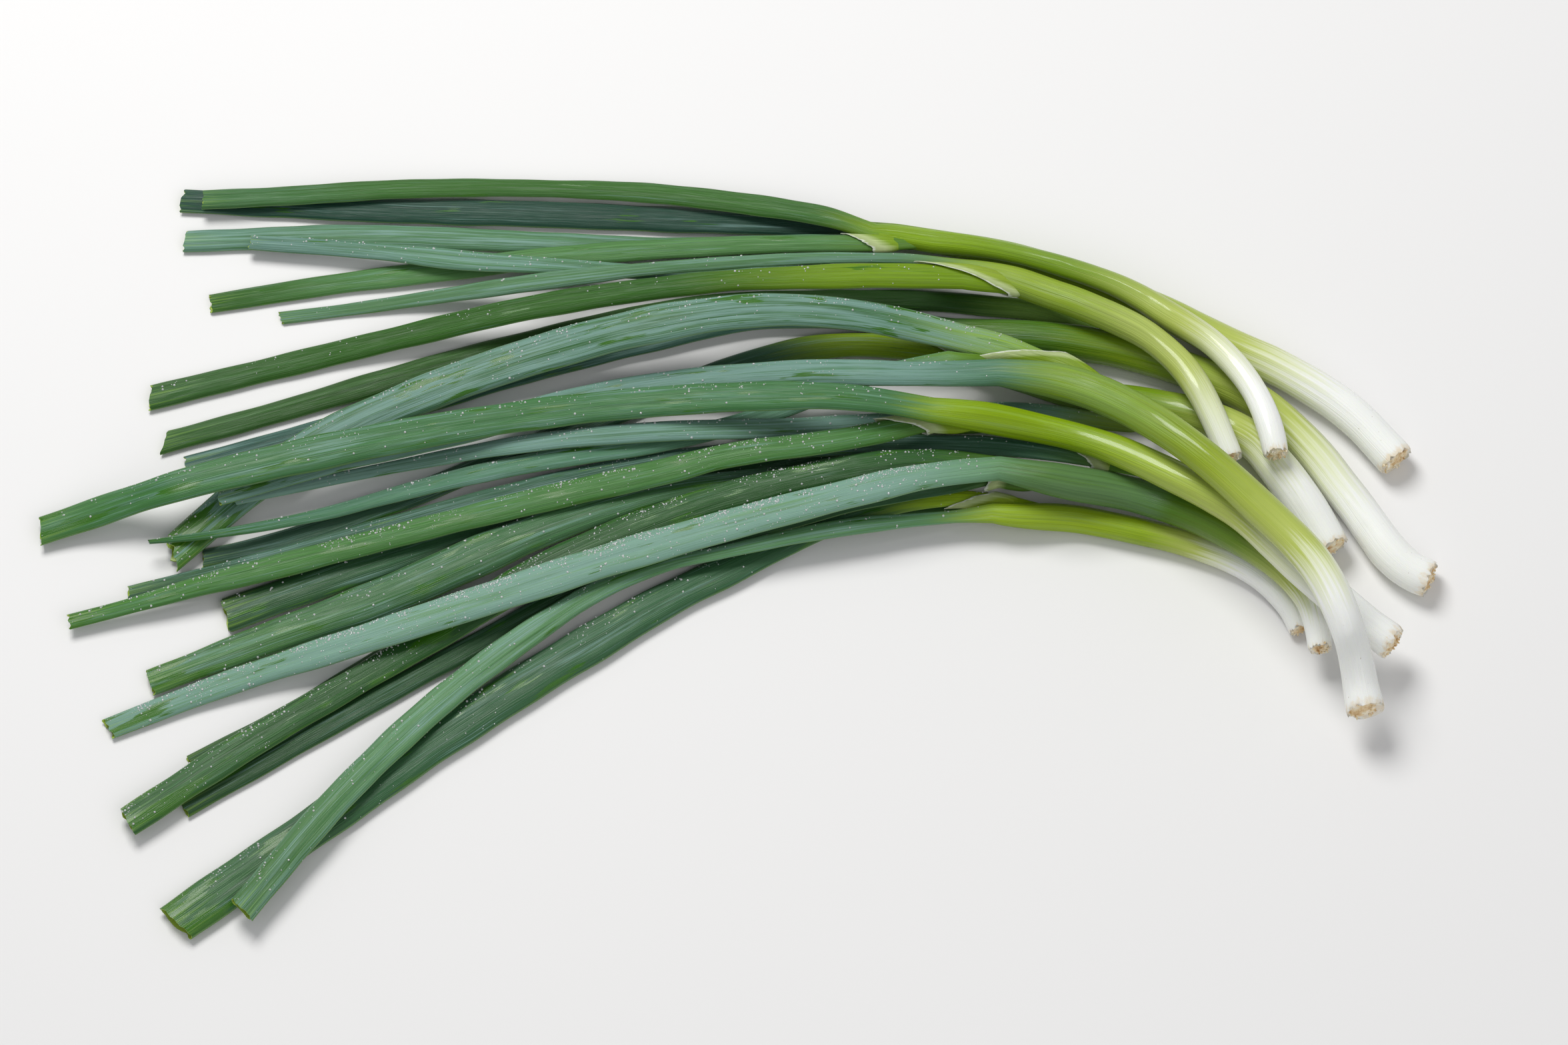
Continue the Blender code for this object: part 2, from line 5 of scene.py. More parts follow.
import bpy
import numpy as np
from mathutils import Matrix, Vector


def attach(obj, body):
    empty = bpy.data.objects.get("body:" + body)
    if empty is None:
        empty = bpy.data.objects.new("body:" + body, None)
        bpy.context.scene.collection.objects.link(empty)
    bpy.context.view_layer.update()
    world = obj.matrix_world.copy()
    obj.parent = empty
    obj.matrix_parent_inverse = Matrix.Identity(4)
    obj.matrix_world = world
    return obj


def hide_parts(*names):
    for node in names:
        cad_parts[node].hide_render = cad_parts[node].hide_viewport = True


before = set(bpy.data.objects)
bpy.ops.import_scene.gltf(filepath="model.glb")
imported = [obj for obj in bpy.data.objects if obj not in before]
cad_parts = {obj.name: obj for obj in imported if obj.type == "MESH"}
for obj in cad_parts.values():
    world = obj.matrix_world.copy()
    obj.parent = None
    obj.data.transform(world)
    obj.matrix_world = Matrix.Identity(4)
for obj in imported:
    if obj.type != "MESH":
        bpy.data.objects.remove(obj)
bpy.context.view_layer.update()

mm = 0.001               # routes are in millimetres and become metres when a mesh is made
sightAngle = math.radians(65.0)   # how far above the surface the routes were read from
routeMiddle = (0.8, -0.5)         # this point among the routes goes to the origin

# How pieces lie on each other; the same rule and sizes as the solids have.
laying = {
    "clearance": 0.55, "feelerStep": 2.0, "turns": 5, "easing": {"shaft": 9, "leaf": 6},
    "shaftStep": 8.0, "leafStep": 13.5, "shaftSides": 10, "leafSides": 8,
    "shaftHeight": 0.90, "mouthHeight": 0.78, "flattened": 30.0,
    "leafHeight": 0.36, "leafBaseHeight": 0.42, "baseShare": 0.3, "thinnestLeaf": 1.3,
    "sunk": 0.2,             # a leaf may start this far below its mouth's middle, over the half height
}

# Each route point is (across, up, width), with up measured square to the line of sight.
# Shafts run from the root end to the mouth where their leaves come out.
shaftRoutes = {
    "a": [(200.0, 26.8, 11.6), (186.2, 41.6, 11.6), (167.4, 54.2, 11.6), (150.0, 62.6, 11.0),
          (130.0, 73.0, 10.0), (110.0, 82.0, 9.0), (85.0, 90.2, 8.2), (50.0, 96.4, 7.4)],
    "b": [(162.4, 28.4, 7.4), (161.0, 36.0, 8.0), (155.6, 49.6, 7.8), (146.0, 61.6, 8.0),
          (130.0, 72.6, 8.4), (120.0, 78.8, 7.6), (100.0, 86.6, 6.6), (80.0, 91.8, 6.2),
          (60.0, 94.4, 7.4), (44.0, 95.2, 7.2)],
    "c": [(149.2, 27.2, 7.4), (142.4, 43.6, 8.4), (136.6, 54.0, 8.6), (126.0, 64.4, 8.8),
          (110.0, 72.8, 9.4), (90.0, 80.0, 9.4), (71.0, 83.6, 8.6)],
    "e": [(209.0, -8.4, 10.4), (202.0, -5.0, 11.6), (186.0, 14.6, 11.6), (173.0, 31.6, 11.6),
          (157.0, 46.0, 11.0), (140.0, 54.0, 11.0), (120.0, 60.4, 11.0), (100.0, 64.0, 11.0),
          (68.0, 66.8, 9.6)],
    "f": [(179.4, 0.4, 11.4), (172.0, 13.0, 12.4), (164.0, 24.4, 12.0), (156.0, 33.6, 11.6),
          (146.0, 39.0, 11.4), (124.0, 44.4, 11.2), (110.0, 46.4, 11.0), (90.0, 52.4, 10.0),
          (66.0, 59.0, 8.6)],
    "g": [(187.2, -47.6, 11.2), (182.4, -26.0, 10.2), (173.6, -5.6, 11.0), (155.0, 14.6, 10.8),
          (135.0, 32.4, 10.6), (125.0, 39.4, 11.0), (105.0, 49.4, 11.6), (95.0, 52.6, 11.2),
          (81.0, 54.8, 10.0)],
    "h": [(196.8, -27.4, 10.4), (183.0, -17.0, 11.0), (168.0, -4.0, 10.6), (150.0, 12.4, 10.2),
          (130.0, 23.6, 10.0), (110.0, 32.4, 9.2), (100.0, 35.4, 8.8), (80.0, 39.4, 9.8),
          (61.0, 41.6, 9.6)],
    "i": [(174.4, -29.6, 7.2), (171.6, -15.0, 8.0), (167.0, -8.0, 9.0), (150.0, 5.4, 11.0),
          (120.0, 17.4, 10.8), (100.0, 21.0, 10.8), (81.0, 25.0, 8.8)],
    "k": [(169.2, -24.0, 6.4), (167.4, -18.4, 7.6), (156.0, -5.6, 8.8), (140.0, 1.6, 8.4),
          (120.0, 6.8, 8.2), (100.0, 10.8, 8.6), (79.0, 14.0, 9.0)],
}

# Leaves run from the base to the cut tip.
leafRoutes = {
    "a1": [(48.6, 97.4, 5.6), (38.0, 98.4, 6.2), (10.0, 100.4, 8.0), (-20.0, 101.6, 8.8),
           (-60.0, 103.2, 9.0), (-100.0, 104.4, 9.0), (-140.0, 106.0, 8.4), (-168.4, 107.4, 8.0)],
    "a2": [(48.4, 94.8, 5.0), (20.0, 94.4, 5.6), (-20.0, 93.2, 6.4), (-60.0, 94.6, 7.2),
           (-80.0, 95.4, 7.6), (-120.0, 96.4, 8.0), (-140.0, 95.8, 7.8), (-167.2, 94.8, 7.2)],
    "b1": [(42.6, 97.2, 5.4), (36.0, 100.0, 6.4), (20.0, 103.8, 7.0), (0.0, 106.8, 7.2),
           (-20.0, 109.2, 7.0), (-60.0, 111.2, 6.0), (-100.0, 111.0, 6.6), (-140.0, 108.6, 6.6),
           (-161.8, 107.6, 6.6)],
    "b2": [(42.6, 93.8, 5.4), (20.0, 93.8, 5.8), (-20.0, 92.4, 6.8), (-60.0, 89.4, 7.0),
           (-80.0, 86.8, 7.4), (-120.0, 81.8, 7.0), (-158.8, 75.6, 6.4)],
    "c1": [(69.6, 83.4, 8.0), (40.0, 83.8, 8.6), (20.0, 83.2, 8.0), (0.0, 82.4, 7.2),
           (-20.0, 80.4, 7.6), (-60.0, 74.4, 8.2), (-100.0, 65.4, 8.0), (-140.0, 55.6, 8.0),
           (-176.0, 46.8, 8.2)],
    "c2": [(69.6, 86.4, 3.4), (60.0, 88.4, 3.4), (40.0, 89.4, 3.6), (0.0, 88.0, 4.4),
           (-20.0, 86.6, 4.4), (-60.0, 82.0, 6.0), (-80.0, 79.2, 5.4), (-120.0, 73.4, 4.2),
           (-137.4, 71.2, 4.4)],
    "c3": [(69.6, 83.2, 5.0), (40.0, 85.4, 5.0), (0.0, 85.0, 5.0), (-20.0, 85.0, 5.2),
           (-60.0, 87.4, 5.6), (-80.0, 88.6, 6.8), (-110.0, 91.8, 5.8), (-147.2, 94.4, 5.2)],
    "e1": [(104.0, 69.4, 3.8), (96.0, 72.4, 5.8), (80.0, 74.6, 7.2), (60.0, 76.4, 6.8),
           (20.0, 76.6, 6.8), (0.0, 76.0, 7.0), (-20.0, 73.4, 7.2), (-60.0, 64.4, 7.6),
           (-100.0, 53.6, 8.0), (-140.0, 41.8, 7.2), (-171.4, 33.2, 7.2)],
    "e2": [(66.6, 67.2, 7.8), (40.0, 70.4, 7.6), (20.0, 71.6, 7.6), (0.0, 70.0, 7.6),
           (-20.0, 65.4, 7.6), (-60.0, 55.4, 7.6), (-100.0, 43.6, 7.6), (-140.0, 32.4, 7.6),
           (-164.4, 25.6, 7.6)],
    "f1": [(64.6, 60.2, 6.6), (40.0, 63.0, 8.0), (20.0, 61.4, 8.4), (0.0, 56.0, 8.0),
           (-20.0, 48.4, 8.0), (-60.0, 32.4, 8.0), (-100.0, 16.0, 7.6), (-140.0, 2.4, 6.6),
           (-158.6, -1.6, 6.0)],
    "f2": [(64.6, 57.6, 5.8), (40.0, 53.0, 6.4), (20.0, 45.4, 6.4), (0.0, 38.6, 6.4),
           (-20.0, 33.6, 6.4), (-60.0, 27.2, 6.6), (-80.0, 23.0, 6.4), (-100.0, 18.0, 5.2),
           (-120.0, 12.4, 4.4), (-140.0, 8.2, 3.4), (-160.0, 5.0, 2.6), (-174.4, 3.4, 1.4)],
    "f3": [(118.0, 38.4, 4.6), (100.0, 40.8, 6.6), (83.0, 42.6, 6.6), (60.0, 40.6, 6.4),
           (20.0, 37.8, 6.6), (-20.0, 36.6, 6.8), (-60.0, 33.2, 6.0), (-100.0, 26.2, 4.4),
           (-149.0, 16.0, 3.6)],
    "g1": [(95.0, 58.2, 4.6), (88.0, 60.2, 7.4), (76.0, 63.0, 9.0), (40.0, 71.2, 10.4),
           (20.0, 73.2, 10.8), (0.0, 72.6, 11.6), (-20.0, 69.6, 12.4), (-60.0, 59.6, 12.8),
           (-100.0, 45.2, 12.2), (-120.0, 36.0, 12.0), (-140.0, 23.6, 12.0), (-167.6, 0.0, 11.0)],
    "g2": [(79.6, 54.2, 8.4), (60.0, 53.8, 8.4), (20.0, 54.2, 8.8), (0.0, 53.0, 8.8),
           (-40.0, 47.6, 8.8), (-80.0, 37.0, 8.6), (-120.0, 27.6, 8.2), (-154.0, 17.6, 7.6)],
    "h1": [(59.6, 42.8, 7.4), (40.0, 46.2, 8.4), (20.0, 47.2, 9.4), (0.0, 46.8, 10.0),
           (-40.0, 44.0, 10.2), (-80.0, 38.6, 10.6), (-100.0, 35.0, 11.2), (-140.0, 26.6, 11.4),
           (-160.0, 21.8, 10.4), (-207.4, 6.6, 9.4)],
    "h2": [(59.6, 39.6, 5.8), (40.0, 35.4, 7.6), (20.0, 32.2, 7.6), (0.0, 29.6, 8.2),
           (-20.0, 24.6, 8.6), (-60.0, 15.4, 8.4), (-100.0, 5.4, 7.6), (-140.0, -5.0, 7.8),
           (-160.0, -10.0, 6.8), (-180.0, -15.8, 5.0), (-197.6, -20.4, 5.2)],
    "h3": [(107.0, 27.4, 4.2), (96.0, 29.4, 5.2), (80.0, 31.6, 6.4), (60.0, 32.6, 6.2),
           (40.0, 32.4, 6.6), (0.0, 30.0, 7.0), (-20.0, 27.6, 7.2), (-60.0, 19.2, 7.6),
           (-100.0, 8.4, 7.6), (-140.0, -3.0, 7.6), (-180.4, -12.6, 6.0)],
    "h4": [(59.0, 38.6, 5.6), (40.0, 33.6, 6.6), (10.0, 27.0, 7.6), (-20.0, 21.0, 8.6),
           (-50.0, 14.0, 9.4), (-90.0, 2.4, 10.0), (-130.0, -11.0, 11.0), (-151.2, -18.6, 11.0)],
    "i1": [(79.6, 25.4, 7.2), (60.0, 23.4, 8.6), (30.0, 16.6, 9.8), (-10.0, 6.0, 10.4),
           (-30.0, 0.2, 10.8), (-70.0, -12.6, 10.6), (-110.0, -25.6, 9.6), (-150.0, -38.6, 8.0),
           (-185.0, -52.0, 7.0)],
    "i2": [(79.4, 26.4, 5.6), (60.0, 28.0, 7.0), (40.0, 26.4, 8.4), (20.0, 22.4, 9.2),
           (-20.0, 11.0, 10.0), (-40.0, 3.0, 10.4), (-60.0, -6.8, 10.8), (-80.0, -19.0, 10.4),
           (-120.0, -42.8, 9.0), (-140.0, -54.4, 9.8), (-178.0, -79.0, 9.6)],
    "i3": [(79.4, 22.8, 4.0), (70.0, 20.6, 4.0), (40.0, 15.6, 5.0), (10.0, 8.0, 6.0),
           (-20.0, -0.4, 6.4), (-40.0, -8.0, 6.6), (-80.0, -29.0, 7.2), (-120.0, -51.0, 7.6),
           (-162.0, -75.0, 7.0)],
    "i4": [(79.4, 24.8, 5.0), (40.0, 24.0, 6.6), (10.0, 22.4, 7.2), (-20.0, 18.4, 8.0),
           (-40.0, 13.0, 10.0), (-60.0, 6.0, 12.0), (-80.0, -2.6, 13.4), (-100.0, -11.4, 13.0),
           (-140.0, -26.0, 10.4), (-173.0, -38.4, 8.4)],
    "k1": [(77.6, 12.0, 4.6), (60.0, 10.4, 4.2), (40.0, 8.6, 5.6), (20.0, 5.4, 5.4),
           (0.0, 1.0, 4.4), (-20.0, -3.4, 4.8), (-40.0, -11.0, 6.6), (-60.0, -23.6, 8.4),
           (-80.0, -38.4, 9.0), (-115.0, -71.0, 9.2), (-143.6, -104.4, 9.2)],
    "k2": [(77.6, 15.8, 5.0), (60.0, 16.4, 6.0), (40.0, 12.4, 7.2), (20.0, 5.0, 8.4),
           (0.0, -4.4, 10.0), (-20.0, -14.0, 11.6), (-40.0, -25.6, 12.8), (-80.0, -50.4, 13.2),
           (-120.0, -78.2, 12.8), (-163.0, -108.4, 14.0)],
    "k3": [(77.4, 14.0, 4.6), (40.0, 13.0, 5.2), (0.0, 7.0, 5.6), (-40.0, -3.0, 5.8),
           (-70.0, -12.0, 5.8), (-100.0, -28.0, 5.6), (-130.0, -46.0, 5.0), (-160.8, -61.6, 4.0)],
}

sideLeaves = ("e1", "f3", "g1", "h3")     # these part from their shaft's side, below its mouth

# Pieces are laid one on another in this order, the lowest first.
layingOrder = (
    "shaft_a", "leaf_a1", "leaf_a2", "shaft_e", "leaf_e1", "leaf_e2", "shaft_f", "leaf_f1",
    "shaft_b", "leaf_b1", "leaf_b2", "shaft_c", "leaf_c3", "leaf_c2", "leaf_c1",
    "shaft_k", "leaf_k3", "leaf_k2", "shaft_i", "leaf_i3", "leaf_k1", "leaf_h4", "leaf_i4",
    "leaf_i2", "leaf_h3", "leaf_g1", "leaf_f2", "leaf_f3", "shaft_h", "shaft_g", "leaf_g2",
    "leaf_h2", "leaf_h1", "leaf_i1",
)


def smoothRise(share):
    # from 0 to 1, level at both ends
    return share * share * (3.0 - 2.0 * share)


def flowThrough(values, stations, at):
    # a smooth curve through the values, read at the stations asked for
    slopes = np.gradient(values, stations)
    index = np.clip(np.searchsorted(stations, at, side="right") - 1, 0, len(stations) - 2)
    span = stations[index + 1] - stations[index]
    t = (at - stations[index]) / span
    rise = smoothRise(t)
    startPull = t * (1.0 - t) ** 2 * span * slopes[index]
    endPull = t * t * (t - 1.0) * span * slopes[index + 1]
    return values[index] * (1.0 - rise) + values[index + 1] * rise + startPull + endPull


def makeRun(name):
    # a piece's sections before it is laid: where they are, and how wide and high
    kind, key = name.split("_")
    table = np.array(shaftRoutes[key] if kind == "shaft" else leafRoutes[key])
    lengths = np.hypot(np.diff(table[:, 0]), np.diff(table[:, 1]))
    stations = np.concatenate(([0.0], np.cumsum(lengths)))
    count = max(3, int(round(stations[-1] / laying[kind + "Step"])) + 1)
    at = np.linspace(0.0, stations[-1], count)
    x, up, width = (flowThrough(table[:, column], stations, at) for column in range(3))
    if kind == "shaft":
        share = np.clip((at[-1] - at) / laying["flattened"], 0.0, 1.0)
        height = width * (laying["mouthHeight"] + (laying["shaftHeight"] - laying["mouthHeight"]) * share)
    else:
        share = np.clip(at / (laying["baseShare"] * at[-1]), 0.0, 1.0)
        low, base = laying["leafHeight"], laying["leafBaseHeight"]
        height = width * (base + (low - base) * share)
        height = np.maximum(height, laying["thinnestLeaf"])
    facet = math.cos(math.pi / laying[kind + "Sides"])      # the solid's section lies on a flat facet
    return {
        "name": name, "kind": kind, "key": key, "at": at, "x": x, "up": up, "facet": facet,
        "halfWidth": width / 2.0, "halfHeight": height / 2.0, "lift": np.zeros(count),
    }


def placeBySight(run):
    # a section that is lifted moves towards the viewer, so it is still seen in the same place
    run["z"] = run["lift"] + run["halfHeight"] * run["facet"]
    run["y"] = (run["up"] - run["z"] * math.cos(sightAngle)) / math.sin(sightAngle)


def feelersOf(run):
    at = np.union1d(np.arange(0.0, run["at"][-1], laying["feelerStep"]), run["at"])
    fields = {field: np.interp(at, run["at"], run[field])
              for field in ("x", "y", "z", "halfWidth", "halfHeight")}
    fields["at"] = at
    return fields


def isAttached(run, other):
    # a shaft and the leaves that come out of its mouth meet end to end
    if run["key"][0] != other["key"][0] or run["kind"] == other["kind"]:
        return False
    leaf = run if run["kind"] == "leaf" else other
    return leaf["key"] not in sideLeaves


def liftNeeded(run, laid):
    own = feelersOf(run)
    low = own["halfHeight"] * run["facet"]
    need = np.zeros(len(own["at"]))
    for other in laid:
        if isAttached(run, other):
            continue
        under = other["feelers"]
        across = np.hypot(own["x"][:, None] - under["x"][None, :], own["y"][:, None] - under["y"][None, :])
        reach = own["halfWidth"][:, None] + under["halfWidth"][None, :] + laying["clearance"]
        tall = own["halfHeight"][:, None] + under["halfHeight"][None, :] + laying["clearance"]
        centre = under["z"][None, :] + tall * np.sqrt(np.clip(1.0 - (across / reach) ** 2, 0.0, 1.0))
        lift = np.where(across < reach, centre - low[:, None], 0.0)
        need = np.maximum(need, lift.max(axis=1))
    sections = run["at"]
    result = np.zeros(len(sections))
    for number in range(len(sections)):
        start = sections[max(number - 1, 0)]
        end = sections[min(number + 1, len(sections) - 1)]
        result[number] = need[(own["at"] >= start) & (own["at"] <= end)].max()
    return result


def eased(need, turns):
    lift = need
    for step in range(turns):
        padded = np.pad(lift, 1, mode="edge")
        lift = np.maximum(need, 0.25 * padded[:-2] + 0.5 * padded[1:-1] + 0.25 * padded[2:])
    return lift


def lay(run, laid):
    mouth = [other for other in laid if isAttached(run, other)]
    for turn in range(laying["turns"]):
        placeBySight(run)
        need = liftNeeded(run, laid)
        if mouth and run["kind"] == "leaf":
            middle = mouth[0]["z"][-1] - run["halfHeight"][0] * run["facet"]
            need[0] = max(need[0], middle - laying["sunk"] * mouth[0]["halfHeight"][-1])
        lift = eased(need, laying["easing"][run["kind"]])
        if turn > 1:
            lift = np.maximum(lift, run["lift"])
        run["lift"] = lift
    run["z"] = run["lift"] + run["halfHeight"] * run["facet"]
    run["feelers"] = feelersOf(run)
    laid.append(run)


def layBunch():
    laid = []
    for name in layingOrder:
        lay(makeRun(name), laid)
    print("pieces laid:", len(laid))
    return {run["name"]: run for run in laid}


# Fineness of the tubes, and how far a section looks to either side for its heading, in mm.
tubes = {"ringGap": 1.25, "heading": 5.0, "leafSides": 28, "shaftSides": 40, "lowest": 0.05}

leafForm = {
    "edge": 1.22,            # above 1 a section has crisper edges than an oval
    "tuckSize": 0.72,        # an inner leaf starts this narrow inside its shaft
    "tuckGap": 1.6,          # between the sections there
    "settled": 15.0,         # an outer leaf has its own shape this far past its base
    "evening": 8,            # rounds of evening out the headings where it leaves its shaft
    "creaseStray": 0.16, "creaseDepth": (0.72, 0.28),
    "ribCount": 5.0, "rib": 0.03, "bulge": 0.035,
    "tipLength": 6.0,        # the cut's lean and notches reach this far back
    "ragged": 0.35,          # unevenness of the cut
    "torn": {"g1": 2.2},     # how many times as uneven it is on a torn leaf
    "wall": 0.38,            # thickness of the wall seen at a cut tip
    "recess": 5.0,           # depth of the hollow seen there
}

# The skin of these leaves goes on from their shaft's skin; the other leaves come out from inside.
outerLeaves = ("a1", "b1", "c2", "e2", "f2", "g2", "h1", "i1", "k1")
# How far before its mouth a shaft's skin becomes the outer leaf's, in mm.
joinLength = {"c": 28.0, "g": 30.0, "h": 34.0, "i": 46.0, "k": 28.0}
usualJoin = 19.0

# How far the cut across a leaf's tip leans, in degrees.
tipLean = {"c1": 18.0, "c2": -14.0, "e1": 30.0, "h1": 12.0, "i1": -8.0, "k1": 10.0, "k2": -8.0, "g1": 26.0}
usualLean = 6.0
pointedLeaves = ("f2",)

# Lengthwise creases of a leaf: (place across from -1 to 1, depth over the half height, width), and its ribs.
leafCreases = {
    "a1": [(0.2, 0.22, 0.30)], "a2": [(-0.1, 0.25, 0.2)], "b1": [(-0.2, 0.2, 0.3)], "b2": [(0.3, 0.25, 0.25)],
    "c1": [(-0.3, 0.3, 0.25)], "c2": [], "c3": [(0.1, 0.3, 0.2)], "e1": [(0.2, 0.25, 0.3)],
    "e2": [(0.0, 0.3, 0.3)], "f1": [(0.3, 0.25, 0.3)], "f2": [(0.0, 0.3, 0.25)], "f3": [(-0.2, 0.2, 0.2)],
    "g1": [(0.35, 0.3, 0.22), (-0.4, 0.2, 0.3)], "g2": [(-0.2, 0.25, 0.3)],
    "h1": [(0.25, 0.3, 0.2), (-0.5, 0.15, 0.2)], "h2": [(-0.1, 0.3, 0.25)], "h3": [(0.2, 0.3, 0.3)],
    "h4": [(-0.2, 0.35, 0.25)], "i1": [(0.1, 0.25, 0.25)], "i2": [(-0.15, 0.3, 0.25), (0.5, 0.2, 0.2)],
    "i3": [(0.2, 0.3, 0.2)], "i4": [(-0.35, 0.45, 0.16)], "k1": [(0.0, -0.25, 0.12), (0.45, 0.3, 0.15)],
    "k2": [(0.1, 0.3, 0.22), (-0.55, 0.25, 0.2)], "k3": [(0.2, 0.3, 0.3)],
}
leafRibs = {"a2": 0.10, "c3": 0.10, "k1": 0.14, "i4": 0.08, "i2": 0.05, "g1": 0.05, "k2": 0.05, "h1": 0.04}


def smoothRun(run, stations):
    # centre, heading and half sizes of a piece at closely spaced stations, in mm
    read = {field: flowThrough(run[field], run["at"], np.clip(stations, 0.0, run["at"][-1]))
            for field in ("x", "y", "z", "halfWidth", "halfHeight")}
    ahead = np.clip(stations + tubes["heading"], 0.0, run["at"][-1])
    behind = np.clip(stations - tubes["heading"], 0.0, run["at"][-1])
    dx = flowThrough(run["x"], run["at"], ahead) - flowThrough(run["x"], run["at"], behind)
    dy = flowThrough(run["y"], run["at"], ahead) - flowThrough(run["y"], run["at"], behind)
    size = np.hypot(dx, dy)
    read["forward"] = np.stack((dx / size, dy / size), axis=1)
    read["sideways"] = np.stack((-dy / size, dx / size), axis=1)
    read["centre"] = np.stack((read["x"], read["y"], read["z"]), axis=1)
    return read


def ringAngles(sides, start=-math.pi / 2.0):
    return start + (np.arange(sides) + 0.5) * 2.0 * math.pi / sides


def drawn(draw, count, low=-1.0, high=1.0):
    return np.array([draw.uniform(low, high) for number in range(count)])


def ringPoints(read, across, high, slide):
    # rows of points from their place across, above and along each section
    centre, forward, sideways = read["centre"], read["forward"], read["sideways"]
    x = centre[:, 0, None] + sideways[:, 0, None] * across + forward[:, 0, None] * slide
    y = centre[:, 1, None] + sideways[:, 1, None] * across + forward[:, 1, None] * slide
    z = centre[:, 2, None] + high
    return np.stack((x - routeMiddle[0], y - routeMiddle[1], np.maximum(z, tubes["lowest"])), axis=2)


def wayOf(rows, along, angle):
    # metres along, and the cosine and sine of the place round the section
    way = np.zeros(rows.shape)
    way[:, :, 0] = along * mm
    way[:, :, 1] = np.cos(angle)[None, :]
    way[:, :, 2] = np.sin(angle)[None, :]
    return way


def skin(name, rows, way, share, wet, capped=True):
    # one body from rows of points; way, share and wet become attributes that its material reads
    count, sides = rows.shape[:2]
    points = rows.reshape(-1, 3) * mm
    number = np.arange(count * sides).reshape(count, sides)
    following = np.roll(number, -1, axis=1)
    quads = np.stack((number[:-1], following[:-1], following[1:], number[1:]), axis=2).reshape(-1, 4)
    faces = quads.tolist()
    if capped:
        faces += [number[0][::-1].tolist(), number[-1].tolist()]
    mesh = bpy.data.meshes.new(name)
    mesh.from_pydata([tuple(point) for point in points.tolist()], [], faces)
    for field, kind, part, values in (("leafWay", "FLOAT_VECTOR", "vector", way),
                                      ("leafShare", "FLOAT", "value", share),
                                      ("wetness", "FLOAT", "value", wet)):
        attribute = mesh.attributes.new(field, kind, "POINT")
        attribute.data.foreach_set(part, np.asarray(values, dtype=np.float32).ravel())
    mesh.shade_smooth()
    mesh.set_sharp_from_angle(angle=math.radians(60.0))
    return mesh


def waves(seed, at, lengths=(61.0, 34.0, 17.0)):
    # slow unevenness along a piece, between about -1 and 1
    draw = random.Random(seed)
    parts = [np.sin(at * 2.0 * math.pi / length * draw.uniform(0.8, 1.2) + draw.uniform(0.0, 6.28))
             for length in lengths]
    return sum(parts) / len(lengths)


def keySeed(key):
    return ord(key[0]) * 37 + (int(key[1]) if len(key) > 1 else 0)


def leafPath(run, host):
    # a leaf's own sections with those of its start, where it comes out of its shaft
    form, key = leafForm, run["key"]
    length = run["at"][-1]
    stations = np.linspace(0.0, length, int(length / tubes["ringGap"]) + 1)
    own = smoothRun(run, stations)
    outer = key in outerLeaves
    tuck = joinLength.get(key[0], usualJoin)
    tuckStations = np.linspace(tuck, tubes["ringGap"] * 1.2, max(12, int(tuck / form["tuckGap"])))
    hostEnd = host["at"][-1]
    hostLine = smoothRun(host, np.arange(0.0, hostEnd, 1.0))
    gap = np.hypot(hostLine["x"] - own["x"][0], hostLine["y"] - own["y"][0])
    nearest = hostEnd if key not in sideLeaves else float(np.argmin(gap))
    inner = smoothRun(host, nearest - tuckStations)
    offset = own["centre"][0] - smoothRun(host, np.array([nearest]))["centre"][0]
    ease = smoothRise(1.0 - tuckStations / tuck)
    centre = np.concatenate((inner["centre"] + offset[None, :] * ease[:, None], own["centre"]))
    forward = np.concatenate((inner["forward"], own["forward"]))
    along = np.concatenate((-tuckStations, stations))
    half = {}
    for field in ("halfWidth", "halfHeight"):
        half[field] = np.concatenate((np.full(len(tuckStations), own[field][0]), own[field]))
    settled = np.ones(len(along))
    if outer:
        # it has its shaft's section at first, and settles into its own
        early = min(tuck, usualJoin)
        settled = smoothRise(np.clip((along + early) / (early + form["settled"]), 0.0, 1.0))
        for field in half:
            hostHalf = np.interp(hostEnd + along, host["at"], host[field])
            half[field] = hostHalf + (half[field] - hostHalf) * settled
    else:
        grown = np.ones(len(along))
        grown[:len(tuckStations)] = form["tuckSize"] + (1.0 - form["tuckSize"]) * ease
        for field in half:
            half[field] = half[field] * grown
    for step in range(form["evening"]):
        forward[1:-1] = (forward[:-2] + 2.0 * forward[1:-1] + forward[2:]) / 4.0
    forward = forward / np.linalg.norm(forward, axis=1)[:, None]
    sideways = np.stack((-forward[:, 1], forward[:, 0]), axis=1)
    return {"along": along, "centre": centre, "forward": forward, "sideways": sideways, "settled": settled,
            "wayStart": hostEnd if outer else 0.0, "length": length, **half}


# How wet each leaf is: drops stand mostly along its far edge.
leafWetness = {
    "g1": 0.45, "g2": 0.25, "h1": 0.3, "h2": 0.8, "h4": 0.2, "i1": 1.9, "i2": 0.7, "i4": 0.25, "k2": 0.35,
    "k1": 0.3, "c1": 0.12, "c3": 0.45, "c2": 0.15, "f2": 0.35, "f3": 0.4, "h3": 0.25,
}
wetForm = {
    "edgeAt": 0.72, "edgeWidth": 0.22, "upper": 0.12, "patchLevel": 0.55, "patchDepth": 0.9, "start": 14.0,
}


